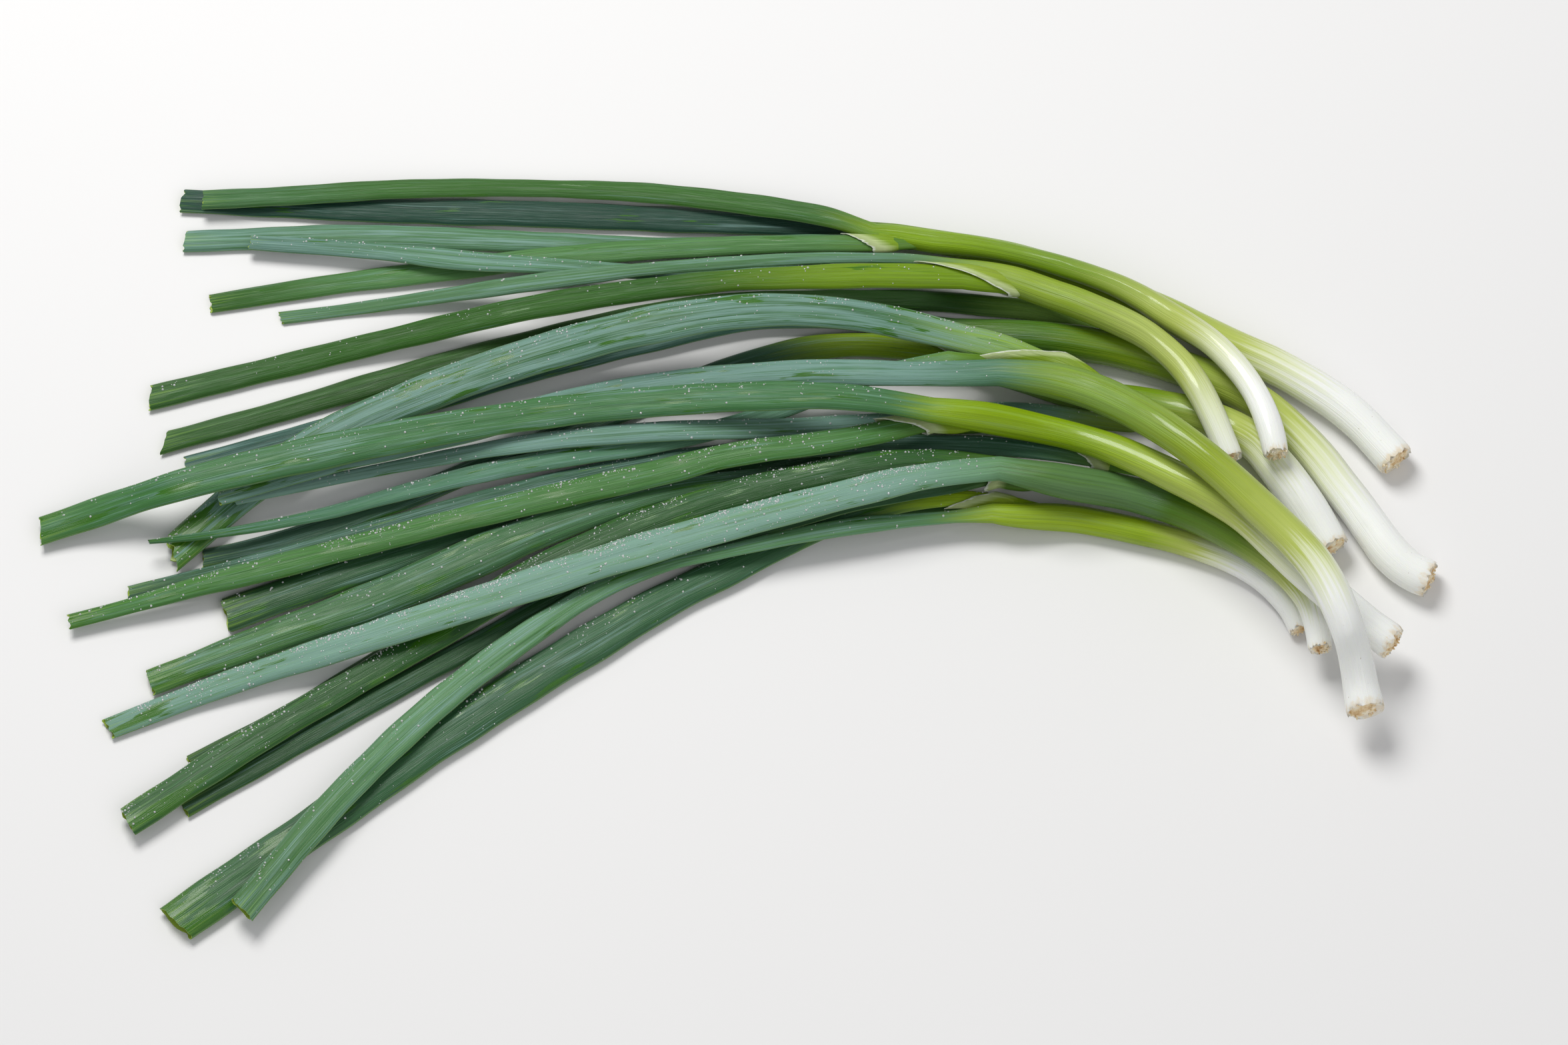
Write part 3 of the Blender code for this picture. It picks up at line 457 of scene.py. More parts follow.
def wetnessOf(key, along, share, angle):
    form = wetForm
    farEdge = np.exp(-((np.cos(angle)[None, :] + form["edgeAt"]) / form["edgeWidth"]) ** 2)
    patches = form["patchLevel"] + form["patchDepth"] * waves(keySeed(key) + 21, along, (47.0, 19.0, 9.0))
    patches = np.clip(patches, 0.0, 1.5)[:, None]
    upper = np.clip(np.sin(angle), 0.0, 1.0)[None, :] * np.ones((len(along), 1))
    spread = form["upper"] * upper + farEdge * (np.sin(angle) > 0.0)[None, :]
    wet = leafWetness.get(key, 0.0) * spread * patches
    return wet * np.clip(share * form["start"], 0.0, 1.0) * (share < 1.1)


def hollowTip(rows, path):
    # the wall turns in at the cut, and the hollow goes back a little way
    last = len(path["along"]) - 1
    halves = np.array([path["halfWidth"][last], path["halfHeight"][last]])
    wallShare = np.clip(1.0 - leafForm["wall"] / halves, 0.2, 1.0)
    inside = [rows]
    for back in (0.0, leafForm["recess"]):
        here = max(0, last - int(round(back / tubes["ringGap"])))
        hub = path["centre"][here] - np.array([routeMiddle[0], routeMiddle[1], 0.0])
        level = (rows[here] - hub) * np.array([1.0, 1.0, wallShare[1]])
        level[:, :2] *= wallShare[0]
        inside.append((hub + level)[None, :, :])
    return np.concatenate(inside)


def leafMesh(run, host):
    form, key = leafForm, run["key"]
    seed = keySeed(key)
    path = leafPath(run, host)
    along, settled, length = path["along"], path["settled"], path["length"]
    sides = tubes["leafSides"]
    angle = ringAngles(sides)
    cosine, sine = np.cos(angle), np.sin(angle)
    crisp = 1.0 + (form["edge"] - 1.0) * settled
    high = np.sign(sine)[None, :] * np.abs(sine)[None, :] ** crisp[:, None]
    stray = form["creaseStray"] * waves(seed, along)
    depth = form["creaseDepth"][0] + form["creaseDepth"][1] * waves(seed + 5, along, (83.0, 41.0))
    top = np.clip(sine, 0.0, 1.0)[None, :] * settled[:, None]
    for place, deep, wide in leafCreases[key]:
        near = (cosine[None, :] - place - stray[:, None]) / wide
        high = high - top * deep * depth[:, None] * np.exp(-near * near)
    ribs = leafRibs.get(key, form["rib"])
    high = high + top * ribs * np.cos(cosine[None, :] * form["ribCount"] * math.pi + 2.0 * stray[:, None])
    bulge = 1.0 + form["bulge"] * waves(seed + 9, along, (37.0, 21.0)) * settled
    across = cosine[None, :] * (path["halfWidth"] * bulge)[:, None]
    high = high * path["halfHeight"][:, None]
    lean = math.tan(math.radians(tipLean.get(key, usualLean)))
    nearTip = np.clip(1.0 - (length - along) / form["tipLength"], 0.0, 1.0)[:, None]
    notches = drawn(random.Random(seed + 3), sides)
    notches = (notches + np.roll(notches, 1)) * form["ragged"] * form["torn"].get(key, 1.0)
    rows = ringPoints(path, across, high, nearTip * (across * lean + nearTip ** 3 * notches[None, :]))
    if key not in pointedLeaves:
        rows = hollowTip(rows, path)
        along = np.concatenate((along, [along[-1], along[-1]]))
    share = np.clip(along / length, -0.2, 1.0)[:, None] * np.ones((1, sides))
    if key not in pointedLeaves:
        share[-2:, :] = 1.2      # marks the inside of the cut for the material
    # an outer leaf's veins go on from the shaft's, so its way is measured from the root end
    way = wayOf(rows, (along + path["wayStart"])[:, None], angle)
    return skin(run["name"], rows, way, share, wetnessOf(key, along, share, angle))


shaftForm = {
    "start": 1.5,            # the shaft begins this far along its route; its root plate lies before it
    "firstGap": 0.5, "buttSize": 0.95, "rounding": 1.6,
    "flareAt": 2.0, "flareLength": 4.0,
    "skinEnd": (0.60, 0.62, 0.65),   # its skin steps inside its outer leaf between these, past the join
    "insideSize": 0.93, "mouthSize": 0.62, "narrowing": 5.0,     # and narrows over this length
    "sheathStep": 0.05,      # the outer sheath's edge stands this far over the rest, over the half width
    "sheathFrom": 8.0, "sheathGrows": 12.0, "sheathEnds": 16.0,
    "edgeAngle": (0.5, 2.4), "edgeTurn": 0.005, "edgeStray": 0.12,
    "bulge": 0.014,
    "cutLength": 2.5, "notches": (-0.8, 0.5),
}
buttFlare = {"a": 0.03, "e": 0.09, "g": 0.07, "h": 0.08, "b": 0.02, "c": 0.02}   # widening at the root end


def shaftMesh(run):
    form, seed = shaftForm, keySeed(run["key"])
    start, length = form["start"], run["at"][-1]
    join = length - joinLength.get(run["key"], usualJoin)
    stations = np.linspace(start, length, int((length - start) / tubes["ringGap"]) + 1)
    before, edge, after = form["skinEnd"]
    extra = [start, start + form["firstGap"], join, join + before, join + after]
    stations = np.sort(np.concatenate((stations[1:], extra)))
    own = smoothRun(run, stations)
    sides = tubes["shaftSides"]
    angle = ringAngles(sides)
    past = np.clip((stations - start) / form["rounding"], 0.0, 1.0)
    size = form["buttSize"] + (1.0 - form["buttSize"]) * np.sqrt(past)
    flare = np.exp(-((stations - form["flareAt"]) / form["flareLength"]) ** 2)
    size = size + buttFlare.get(run["key"], 0.0) * flare
    beyond = np.clip((stations - join) / form["narrowing"], 0.0, 1.0)
    inside = form["insideSize"] - (form["insideSize"] - form["mouthSize"]) * beyond
    size = size * np.where(stations > join + edge, inside, 1.0)
    # one edge of the rolled sheath shows as a low step that winds slowly round the shaft
    draw = random.Random(seed)
    grown = np.clip((stations - form["sheathFrom"]) / form["sheathGrows"], 0.0, 1.0)
    grown = grown * np.clip((join - stations) / form["sheathEnds"], 0.0, 1.0)
    most = form["edgeTurn"]
    edgeAngle = draw.uniform(*form["edgeAngle"]) + stations * draw.uniform(-most, most)
    edgeAngle = edgeAngle + form["edgeStray"] * waves(seed, stations)
    turn = np.mod(angle[None, :] - edgeAngle[:, None], 2.0 * math.pi) / (2.0 * math.pi)
    spiral = 1.0 + form["sheathStep"] * (0.5 - turn) * grown[:, None]
    bulge = 1.0 + form["bulge"] * waves(seed + 2, stations, (31.0, 17.0)) * grown
    across = np.cos(angle)[None, :] * (own["halfWidth"] * size * bulge)[:, None] * spiral
    high = np.sin(angle)[None, :] * (own["halfHeight"] * size * bulge)[:, None] * spiral
    nearButt = np.clip(1.0 - (stations - start) / form["cutLength"], 0.0, 1.0)[:, None]
    rows = ringPoints(own, across, high, nearButt ** 2 * drawn(draw, sides, *form["notches"])[None, :])
    share = (stations / length)[:, None] * np.ones((1, sides))
    wet = np.clip(np.sin(angle), 0.0, 1.0)[None, :] * np.ones((len(stations), 1))
    return skin(run["name"], rows, wayOf(rows, stations[:, None], angle), share, wet)


# Collars: thin pale ends of a sheath round the leaf that comes out of it. Each is cut aslant, from
# short on one side to long on the other, in mm past the leaf's base; side is 1 where the lower side
# of the picture is the long one, and -1 where the upper side is.
collars = {
    "b2": {"side": -1, "short": 0.0, "long": 10.0, "back": 9.0},
    "c1": {"side": -1, "short": -14.0, "long": 15.0, "back": 18.0, "stand": 0.5},
    "f1": {"side": -1, "short": -4.0, "long": 10.0, "back": 10.0},
    "g1": {"side": 1, "short": -4.0, "long": 24.0, "back": 24.0, "stand": 1.3},
    "h2": {"side": -1, "short": 2.0, "long": 17.0, "back": 14.0, "stand": 0.8},
    "h3": {"side": -1, "short": -1.0, "long": 8.0, "back": 8.0},
    "k2": {"side": 1, "short": 0.0, "long": 14.0, "back": 9.0},
    "i3": {"side": 1, "short": 1.0, "long": 5.0, "back": 16.0, "stand": 1.3},
}
collarForm = {
    "rings": 14, "sides": 44, "thickness": 0.00012, "lowest": 0.1,
    "sunk": 0.45, "stand": 0.35, "rising": 0.45, "flare": 0.30,   # it starts sunk in the skin
    "slant": 1.4, "ragged": 0.30, "freeEdge": 9.0,
}


def collarMesh(key, run, host):
    # a sleeve round the leaf's start that ends aslant in a thin free edge
    collar, form = collars[key], collarForm
    path = leafPath(run, host)
    angle = ringAngles(form["sides"])
    ragged = drawn(random.Random(keySeed(key) + 40), form["sides"])
    ragged = (np.roll(ragged, 1) + ragged + np.roll(ragged, -1)) * form["ragged"]
    far = (0.5 + 0.5 * collar["side"] * np.cos(angle)) ** form["slant"]
    end = collar["short"] + (collar["long"] - collar["short"]) * far + ragged
    share = np.linspace(0.0, 1.0, form["rings"])[:, None]
    at = -collar["back"] + share * (end[None, :] + collar["back"])
    x, y, z = (np.interp(at, path["along"], path["centre"][:, axis]) for axis in range(3))
    sideX, sideY = (np.interp(at, path["along"], path["sideways"][:, axis]) for axis in range(2))
    rise = smoothRise(np.clip(share / form["rising"], 0.0, 1.0))
    stand = collar.get("stand", form["stand"]) + form["sunk"]
    stand = stand * rise - form["sunk"] + form["flare"] * share ** 3
    across = np.cos(angle)[None, :] * (np.interp(at, path["along"], path["halfWidth"]) + stand)
    high = np.sin(angle)[None, :] * (np.interp(at, path["along"], path["halfHeight"]) + stand)
    rows = np.stack((x + sideX * across - routeMiddle[0], y + sideY * across - routeMiddle[1],
                     np.maximum(z + high, form["lowest"])), axis=2)
    nearEdge = np.clip(1.0 - (end[None, :] - at) / form["freeEdge"], 0.0, 1.0)
    return skin("collar_" + key, rows, wayOf(rows, at, angle), nearEdge, np.zeros(at.shape), capped=False)


def tint(red, green, blue):
    # a colour from 0 to 255, as the shader wants it
    return tuple(((value / 255.0 + 0.055) / 1.055) ** 2.4 for value in (red, green, blue)) + (1.0,)


def feed(tree, socket, value):
    if isinstance(value, bpy.types.NodeSocket):
        tree.links.new(value, socket)
    else:
        socket.default_value = value


def addNode(tree, kind, given=(), **settings):
    # a node with its settings made, and its inputs linked or filled in
    node = tree.nodes.new(kind)
    for setting, value in settings.items():
        setattr(node, setting, value)
    for name, value in dict(given).items():
        feed(tree, node.inputs[name], value)
    return node


def newTree(name, kind, inputs, outputs):
    tree = bpy.data.node_groups.new(name, kind)
    for direction, sockets in (("INPUT", inputs), ("OUTPUT", outputs)):
        for socketName, socketKind in sockets.items():
            kindName = "NodeSocket" + socketKind
            tree.interface.new_socket(name=socketName, in_out=direction, socket_type=kindName)
    return tree, tree.nodes.new("NodeGroupInput").outputs, tree.nodes.new("NodeGroupOutput").inputs


def mathStep(tree, operation, *values):
    return addNode(tree, "ShaderNodeMath", dict(enumerate(values)), operation=operation).outputs[0]


def product(tree, first, *others):
    for other in others:
        first = mathStep(tree, "MULTIPLY", first, other)
    return first


def weighted(tree, value, gain, base):
    return mathStep(tree, "MULTIPLY_ADD", value, gain, base)


def inverse(tree, value):
    return mathStep(tree, "SUBTRACT", 1.0, value)


def rangeStep(tree, value, low, high, newLow=0.0, newHigh=1.0):
    given = {"Value": value, "From Min": low, "From Max": high, "To Min": newLow, "To Max": newHigh}
    return addNode(tree, "ShaderNodeMapRange", given, interpolation_type="SMOOTHSTEP").outputs["Result"]


def mixColour(tree, amount, first, second, blend="MIX"):
    given = {"Factor": amount, 6: first, 7: second}
    return addNode(tree, "ShaderNodeMix", given, data_type="RGBA", blend_type=blend).outputs[2]


def stretchedNoise(tree, way, stretch, detail, shift):
    # noise that runs lengthwise: stretch is its repeats a metre along, and across and over the section
    if isinstance(shift, bpy.types.NodeSocket):
        shift = addNode(tree, "ShaderNodeCombineXYZ", {0: shift, 1: shift}).outputs[0]
    else:
        shift = (shift, shift, 0.0)
    scaled = addNode(tree, "ShaderNodeVectorMath", operation="MULTIPLY_ADD")
    for number, value in enumerate((way, stretch, shift)):
        feed(tree, scaled.inputs[number], value)
    given = {"Vector": scaled.outputs[0], "Scale": 1.0, "Detail": detail, "Roughness": 0.6}
    return addNode(tree, "ShaderNodeTexNoise", given).outputs["Fac"]


veinLooks = {
    "Veins": {"stretch": (26.0, 20.0, 20.0), "detail": 2.0, "low": 0.36, "high": 0.64},
    "Streaks": {"stretch": (11.0, 5.0, 5.0), "detail": 4.0, "low": 0.34, "high": 0.66},
}
# Effects in patches, from a broad noise and a fine one. The amount asked for lowers the level above which
# a patch shows, and below and above say how soft its edge is.
patchLooks = {
    "bloom": {       # a waxy bloom in lengthwise streaks
        "broad": (30.0, 2.4, 2.4), "broadDetail": 5.0, "broadShift": 0.0, "broadShare": 0.65,
        "fine": (16.0, 11.0, 11.0), "fineShift": 7.3, "fineShare": 0.65,
        "level": 0.93, "reach": 0.44, "below": 0.12, "above": 0.12,
    },
    "rub": {         # places where it is rubbed off, wet and deep green, with ragged edges
        "broad": (46.0, 1.3, 1.3), "broadDetail": 2.0, "broadShift": 3.1, "broadShare": 0.85,
        "fine": (70.0, 12.0, 12.0), "fineShift": 0.0, "fineShare": 0.35,
        "level": 0.815, "reach": 0.24, "below": 0.0, "above": 0.035,
    },
}


def makeVeinsGroup():
    # fine parallel veins along a leaf or shaft, and broader streaks
    inputs = {"Way": "Vector", "Seed": "Float"}
    outputs = {name: "Float" for name in veinLooks}
    group, given, result = newTree("lengthwiseVeins", "ShaderNodeTree", inputs, outputs)
    for name, look in veinLooks.items():
        noise = stretchedNoise(group, given["Way"], look["stretch"], look["detail"], given["Seed"])
        feed(group, result[name], rangeStep(group, noise, look["low"], look["high"]))
    return group


def makePatchGroup(name):
    look = patchLooks[name]
    inputs = {"Way": "Vector", "Seed": "Float", "Amount": "Float"}
    group, given, result = newTree(name + "Patches", "ShaderNodeTree", inputs, {"Mask": "Float"})
    broadSeed = mathStep(group, "ADD", given["Seed"], look["broadShift"])
    fineSeed = mathStep(group, "ADD", given["Seed"], look["fineShift"])
    broad = stretchedNoise(group, given["Way"], look["broad"], look["broadDetail"], broadSeed)
    fine = stretchedNoise(group, given["Way"], look["fine"], 4.0, fineSeed)
    both = weighted(group, fine, look["fineShare"], product(group, broad, look["broadShare"]))
    level = mathStep(group, "SUBTRACT", look["level"], product(group, given["Amount"], look["reach"]))
    low = mathStep(group, "SUBTRACT", level, look["below"])
    feed(group, result["Mask"], rangeStep(group, both, low, mathStep(group, "ADD", level, look["above"])))
    return group


def placeGroup(tree, group, **values):
    return addNode(tree, "ShaderNodeGroup", values, node_tree=group).outputs


def colourRamp(tree, amount, stops):
    step = addNode(tree, "ShaderNodeValToRGB", {0: amount})
    band = step.color_ramp
    while len(band.elements) < len(stops):
        band.elements.new(0.5)
    for element, (place, colour) in zip(band.elements, stops):
        element.position = place
        element.color = colour
    return step.outputs[0]


def newMaterial(name, **values):
    # a material with its shader's constant values, such as CoatRoughness for Coat Roughness, set on it
    material = bpy.data.materials.new(name)
    material.use_nodes = True
    shader = material.node_tree.nodes["Principled BSDF"]
    for socket in shader.inputs:
        value = values.get(socket.name.replace(" ", ""))
        if value is not None:
            socket.default_value = value
    return material, material.node_tree, shader.inputs


# Light soaks a little way into the wet flesh.
flesh = {"SubsurfaceWeight": 0.10, "SubsurfaceScale": 0.0015, "SubsurfaceRadius": (0.8, 1.0, 0.4)}
relief = {"streaks": 0.6, "height": 0.00012, "strength": 0.42, "collarStrength": 0.45, "specular": 0.22}


def bumpFrom(tree, height, distance, strength):
    given = {"Strength": strength, "Distance": distance, "Height": height}
    return addNode(tree, "ShaderNodeBump", given).outputs[0]


def veinRelief(tree, veins, strength):
    height = weighted(tree, veins["Streaks"], relief["streaks"], veins["Veins"])
    return bumpFrom(tree, height, relief["height"], strength)


def skinMaterial(name, groups, seed, **values):
    # a material that reads the skin's way, its share of the length and its veins
    material, tree, shader = newMaterial(name, **flesh, **values)
    way = addNode(tree, "ShaderNodeAttribute", attribute_name="leafWay").outputs["Vector"]
    share = addNode(tree, "ShaderNodeAttribute", attribute_name="leafShare").outputs["Fac"]
    return material, tree, shader, way, share, placeGroup(tree, groups["veins"], Way=way, Seed=seed)


def seedOf(key):
    return float(keySeed(key) % 97)


# Leaf finishes: colours at the base, over the middle and at the tip, and how much bloom and rubbing.
limeBase = tint(128, 154, 22)
paleBase = tint(112, 148, 60)
greenBase = tint(84, 124, 34)
leafLooks = {
    "a1": (greenBase, tint(30, 66, 50), tint(34, 70, 54), 0.30, 0.30),
    "a2": (paleBase, tint(78, 122, 80), tint(86, 126, 98), 0.55, 0.20),
    "b1": (limeBase, tint(56, 100, 38), tint(64, 106, 60), 0.20, 0.30),
    "b2": (greenBase, tint(78, 124, 66), tint(48, 92, 26), 0.30, 0.35),
    "c1": (tint(106, 138, 2), tint(42, 88, 16), tint(48, 90, 34), 0.12, 0.26),
    "c2": (tint(136, 160, 46), tint(80, 122, 78), tint(80, 120, 76), 0.50, 0.25),
    "c3": (paleBase, tint(80, 124, 84), tint(78, 114, 94), 0.62, 0.25),
    "e1": (paleBase, tint(42, 82, 24), tint(52, 92, 38), 0.12, 0.25),
    "e2": (greenBase, tint(44, 84, 66), tint(48, 84, 72), 0.45, 0.40),
    "f1": (tint(120, 150, 10), tint(46, 84, 58), tint(54, 86, 66), 0.40, 0.40),
    "f2": (limeBase, tint(78, 122, 92), tint(44, 96, 26), 0.45, 0.35),
    "f3": (limeBase, tint(84, 124, 94), tint(122, 158, 138), 0.68, 0.25),
    "g1": (tint(134, 168, 52), tint(58, 102, 58), tint(54, 100, 44), 0.72, 0.58),
    "g2": (greenBase, tint(70, 114, 80), tint(66, 108, 74), 0.80, 0.46),
    "h1": (greenBase, tint(62, 110, 62), tint(64, 112, 58), 0.38, 0.46),
    "h2": (greenBase, tint(66, 114, 52), tint(68, 118, 48), 0.30, 0.44),
    "h3": (greenBase, tint(50, 90, 64), tint(46, 86, 52), 0.45, 0.35),
    "h4": (greenBase, tint(46, 86, 52), tint(42, 80, 42), 0.30, 0.40),
    "i1": (greenBase, tint(92, 136, 88), tint(78, 124, 66), 0.86, 0.42),
    "i2": (greenBase, tint(38, 82, 32), tint(52, 96, 46), 0.16, 0.62),
    "i3": (greenBase, tint(40, 78, 42), tint(36, 72, 34), 0.30, 0.30),
    "i4": (greenBase, tint(58, 100, 58), tint(66, 110, 54), 0.40, 0.50),
    "k1": (limeBase, tint(84, 130, 82), tint(66, 110, 56), 0.48, 0.24),
    "k2": (tint(136, 166, 22), tint(50, 91, 56), tint(54, 98, 52), 0.26, 0.46),
    "k3": (greenBase, tint(52, 90, 46), tint(46, 84, 36), 0.30, 0.40),
}
# These tips have been handled most, so more of their bloom is gone.
tipRubs = {
    "g1": 0.75, "h1": 0.35, "h2": 0.55, "i1": 0.40, "i2": 0.40, "i4": 0.45, "k2": 0.60, "c1": 0.2, "c3": 0.3,
}
leafFinish = {
    "bloomColour": tint(130, 164, 158), "bloomCover": 0.62,
    "rubbedColour": tint(50, 102, 6), "rubbedDark": 0.85, "rubbedCoat": 0.15,
    # the edge colour is a painted highlight: a pale line along each side edge of a leaf
    "edgeColour": tint(132, 168, 104), "edgeCover": 0.5, "cutColour": tint(158, 184, 72),
    "yellowTip": tint(120, 156, 50), "yellowCover": 0.35, "turnWarp": 9.0, "turnStart": 4.0,
    "bloomRoughness": 0.50, "greenRoughness": 0.34, "rubbedRoughness": 0.24, "coatRoughness": 0.08,
}

# The green of each onion where its shaft's skin becomes its outer leaf's.
mouthColours = {
    "a": tint(122, 154, 22), "b": tint(122, 154, 20), "c": tint(136, 160, 46), "e": tint(70, 108, 20),
    "f": tint(98, 136, 34), "g": tint(120, 149, 24), "h": tint(128, 158, 12), "i": tint(74, 110, 30),
    "k": tint(142, 168, 26),
}
# Where an outer leaf turns from its shaft's green to its own, in mm past its base, by shaft; then where an
# inner leaf turns from its base's green, by leaf.
turnsGreen = {"g": (-18.0, 4.0), "h": (-7.0, 14.0), "i": (-12.0, 8.0), "k": (-2.0, 22.0), "c": (-12.0, 24.0)}
innerTurns = {
    "g1": (10.0, 56.0), "k2": (16.0, 44.0), "f1": (30.0, 60.0), "e1": (10.0, 40.0), "c1": (30.0, 95.0),
    "f3": (6.0, 30.0),
}
usualTurn = (-10.0, 22.0)
greenDepth = {"base": 0.81, "streaks": 0.24, "veins": 0.14}


def greenSkin(tree, body, veins, amount):
    # streaks and fine veins that leaves and shafts share
    shade = weighted(tree, veins["Streaks"], greenDepth["streaks"], greenDepth["base"])
    shade = weighted(tree, veins["Veins"], greenDepth["veins"], shade)
    return mixColour(tree, amount, body, mixColour(tree, 1.0, body, shade, "MULTIPLY"))


def glossOf(tree, veins):
    return weighted(tree, veins["Streaks"], shaftFinish["roughnessDepth"], shaftFinish["roughness"])


def leafMaterial(key, groups, length):
    base, middle, tip, bloomAmount, rubAmount = leafLooks[key]
    finish = leafFinish
    outer = key in outerLeaves
    seed = seedOf(key[0] if outer else key)
    fixed = {"CoatRoughness": finish["coatRoughness"], "SpecularIORLevel": relief["specular"]}
    material, tree, shader, way, share, veins = skinMaterial("leaf_" + key, groups, seed, **fixed)
    bloom = placeGroup(tree, groups["bloom"], Way=way, Seed=seed, Amount=bloomAmount)["Mask"]
    nearTip = rangeStep(tree, share, 0.90, 0.97, rubAmount, rubAmount + tipRubs.get(key, 0.0))
    rubbed = placeGroup(tree, groups["rub"], Way=way, Seed=seed, Amount=nearTip)["Mask"]
    away = rangeStep(tree, share, 0.01, 0.10)
    rubbed = product(tree, rubbed, away)

    warped = weighted(tree, veins["Streaks"], 0.14, share)
    start = mouthColours[key[0]] if outer else base
    turn = turnsGreen.get(key[0], usualTurn) if outer else innerTurns.get(key, usualTurn)
    past = weighted(tree, share, length, product(tree, veins["Streaks"], finish["turnWarp"]))
    grown = rangeStep(tree, past, turn[0] + finish["turnStart"], turn[1] + finish["turnStart"])
    body = mixColour(tree, grown, start, middle)
    body = mixColour(tree, rangeStep(tree, warped, 0.80, 1.05), body, tip)
    body = greenSkin(tree, body, veins, 1.0)
    bloomHere = product(tree, bloom, rangeStep(tree, share, -0.02, 0.14, 0.22, 1.0), inverse(tree, rubbed),
                        finish["bloomCover"])
    rubbedGreen = mixColour(tree, finish["rubbedDark"], body, finish["rubbedColour"])
    body = mixColour(tree, rubbed, body, rubbedGreen)
    body = mixColour(tree, bloomHere, body, finish["bloomColour"])
    # painted highlight: a pale line along each side edge, where the light catches the leaf
    split = addNode(tree, "ShaderNodeSeparateXYZ", {0: way})
    outward = mathStep(tree, "ABSOLUTE", split.outputs[1])
    edge = product(tree, rangeStep(tree, outward, 0.93, 0.99, 0.0, finish["edgeCover"]), away)
    body = mixColour(tree, edge, body, finish["edgeColour"])
    yellow = rangeStep(tree, warped, 1.06, 1.13, 0.0, finish["yellowCover"])
    body = mixColour(tree, yellow, body, finish["yellowTip"])
    body = mixColour(tree, rangeStep(tree, share, 1.02, 1.12), body, finish["cutColour"])

    green = finish["greenRoughness"]
    rough = weighted(tree, bloomHere, finish["bloomRoughness"] - green, green)
    rough = weighted(tree, rubbed, finish["rubbedRoughness"] - green, rough)
    if outer:
        # near its base it is as glossy as the shaft
        own = rangeStep(tree, share, -0.06, 0.10)
        rough = mathStep(tree, "ADD", product(tree, rough, own),
                         product(tree, glossOf(tree, veins), inverse(tree, own)))
    feed(tree, shader["Base Color"], body)
    feed(tree, shader["Roughness"], rough)
    feed(tree, shader["Coat Weight"], product(tree, rubbed, finish["rubbedCoat"]))
    feed(tree, shader["Normal"], veinRelief(tree, veins, relief["strength"]))
    return material


# Shaft finishes: how far the white reaches from the root end, where lime begins and where green does,
# as shares of the length.
shaftLooks = {
    "a": (0.22, 0.40, 0.62), "b": (0.18, 0.40, 0.66), "c": (0.03, 0.34, 0.54), "e": (0.23, 0.44, 0.72),
    "f": (0.20, 0.38, 0.60), "g": (0.25, 0.40, 0.64), "h": (0.20, 0.42, 0.70), "i": (0.13, 0.24, 0.42),
    "k": (0.30, 0.46, 0.62),
}
shaftFinish = {
    "white": tint(241, 242, 236), "cream": tint(218, 224, 180), "lime": tint(180, 192, 96),
    "deepLime": tint(116, 148, 24), "veinGreen": tint(88, 128, 22), "veinCover": 0.26, "bloomCover": 0.22,
    "speck": tint(134, 92, 48), "speckCover": 0.7, "crust": tint(230, 212, 178), "crustCover": 0.75,
    "roughness": 0.25, "roughnessDepth": 0.10, "coat": 0.45, "coatRoughness": 0.12,
}
deepLime = {
    "a": tint(150, 172, 38), "c": tint(170, 184, 92), "e": tint(126, 152, 28), "g": tint(140, 160, 20),
    "h": tint(146, 172, 34), "i": tint(98, 128, 24), "k": tint(138, 164, 10),
}


def shaftMaterial(key, groups, length):
    finish = shaftFinish
    white, lime, green = shaftLooks[key]
    join = 1.0 - joinLength.get(key, usualJoin) / length
    seed = seedOf(key)
    outerLook = leafLooks[next(leaf for leaf in outerLeaves if leaf[0] == key)]
    fixed = {"CoatRoughness": finish["coatRoughness"], "SpecularIORLevel": relief["specular"]}
    material, tree, shader, way, share, veins = skinMaterial("shaft_" + key, groups, seed, **fixed)
    bloom = placeGroup(tree, groups["bloom"], Way=way, Seed=seed, Amount=outerLook[3])["Mask"]
    warped = weighted(tree, veins["Veins"], 0.02, weighted(tree, veins["Streaks"], 0.07, share))
    body = colourRamp(tree, warped, (
        (0.0, finish["white"]), (white, finish["white"]), (0.4 * white + 0.6 * lime, finish["cream"]),
        (lime, finish["lime"]), (green, deepLime.get(key, finish["deepLime"])),
        (min(join, 0.97), mouthColours[key]),
    ))
    veinHere = product(tree, inverse(tree, veins["Veins"]),
                       rangeStep(tree, share, white, green, 0.0, finish["veinCover"]),
                       rangeStep(tree, share, green, join, 1.0, 0.0))
    body = mixColour(tree, veinHere, body, finish["veinGreen"])
    body = greenSkin(tree, body, veins, rangeStep(tree, share, white, join))
    bloomHere = product(tree, bloom, rangeStep(tree, share, 0.55, join, 0.0, finish["bloomCover"]),
                        leafFinish["bloomCover"])
    body = mixColour(tree, bloomHere, body, leafFinish["bloomColour"])
    specks = stretchedNoise(tree, way, (900.0, 9.0, 9.0), 1.0, seed)
    speckHere = product(tree, rangeStep(tree, specks, 0.77, 0.80),
                        rangeStep(tree, share, 0.0, 0.2, 1.0, 0.25), finish["speckCover"])
    body = mixColour(tree, speckHere, body, finish["speck"])
    ragged = weighted(tree, stretchedNoise(tree, way, (420.0, 3.2, 3.2), 4.0, seed + 2.0), 0.05, share)
    crust = rangeStep(tree, ragged, 0.030, 0.048, finish["crustCover"], 0.0)
    feed(tree, shader["Base Color"], mixColour(tree, crust, body, finish["crust"]))
    feed(tree, shader["Roughness"], glossOf(tree, veins))
    feed(tree, shader["Coat Weight"], rangeStep(tree, share, green, join - 0.04, finish["coat"], 0.0))
    feed(tree, shader["Normal"], veinRelief(tree, veins, relief["strength"]))
    return material


collarLook = {"edge": tint(230, 236, 214), "film": tint(178, 194, 132), "roughness": 0.38, "specular": 0.30}


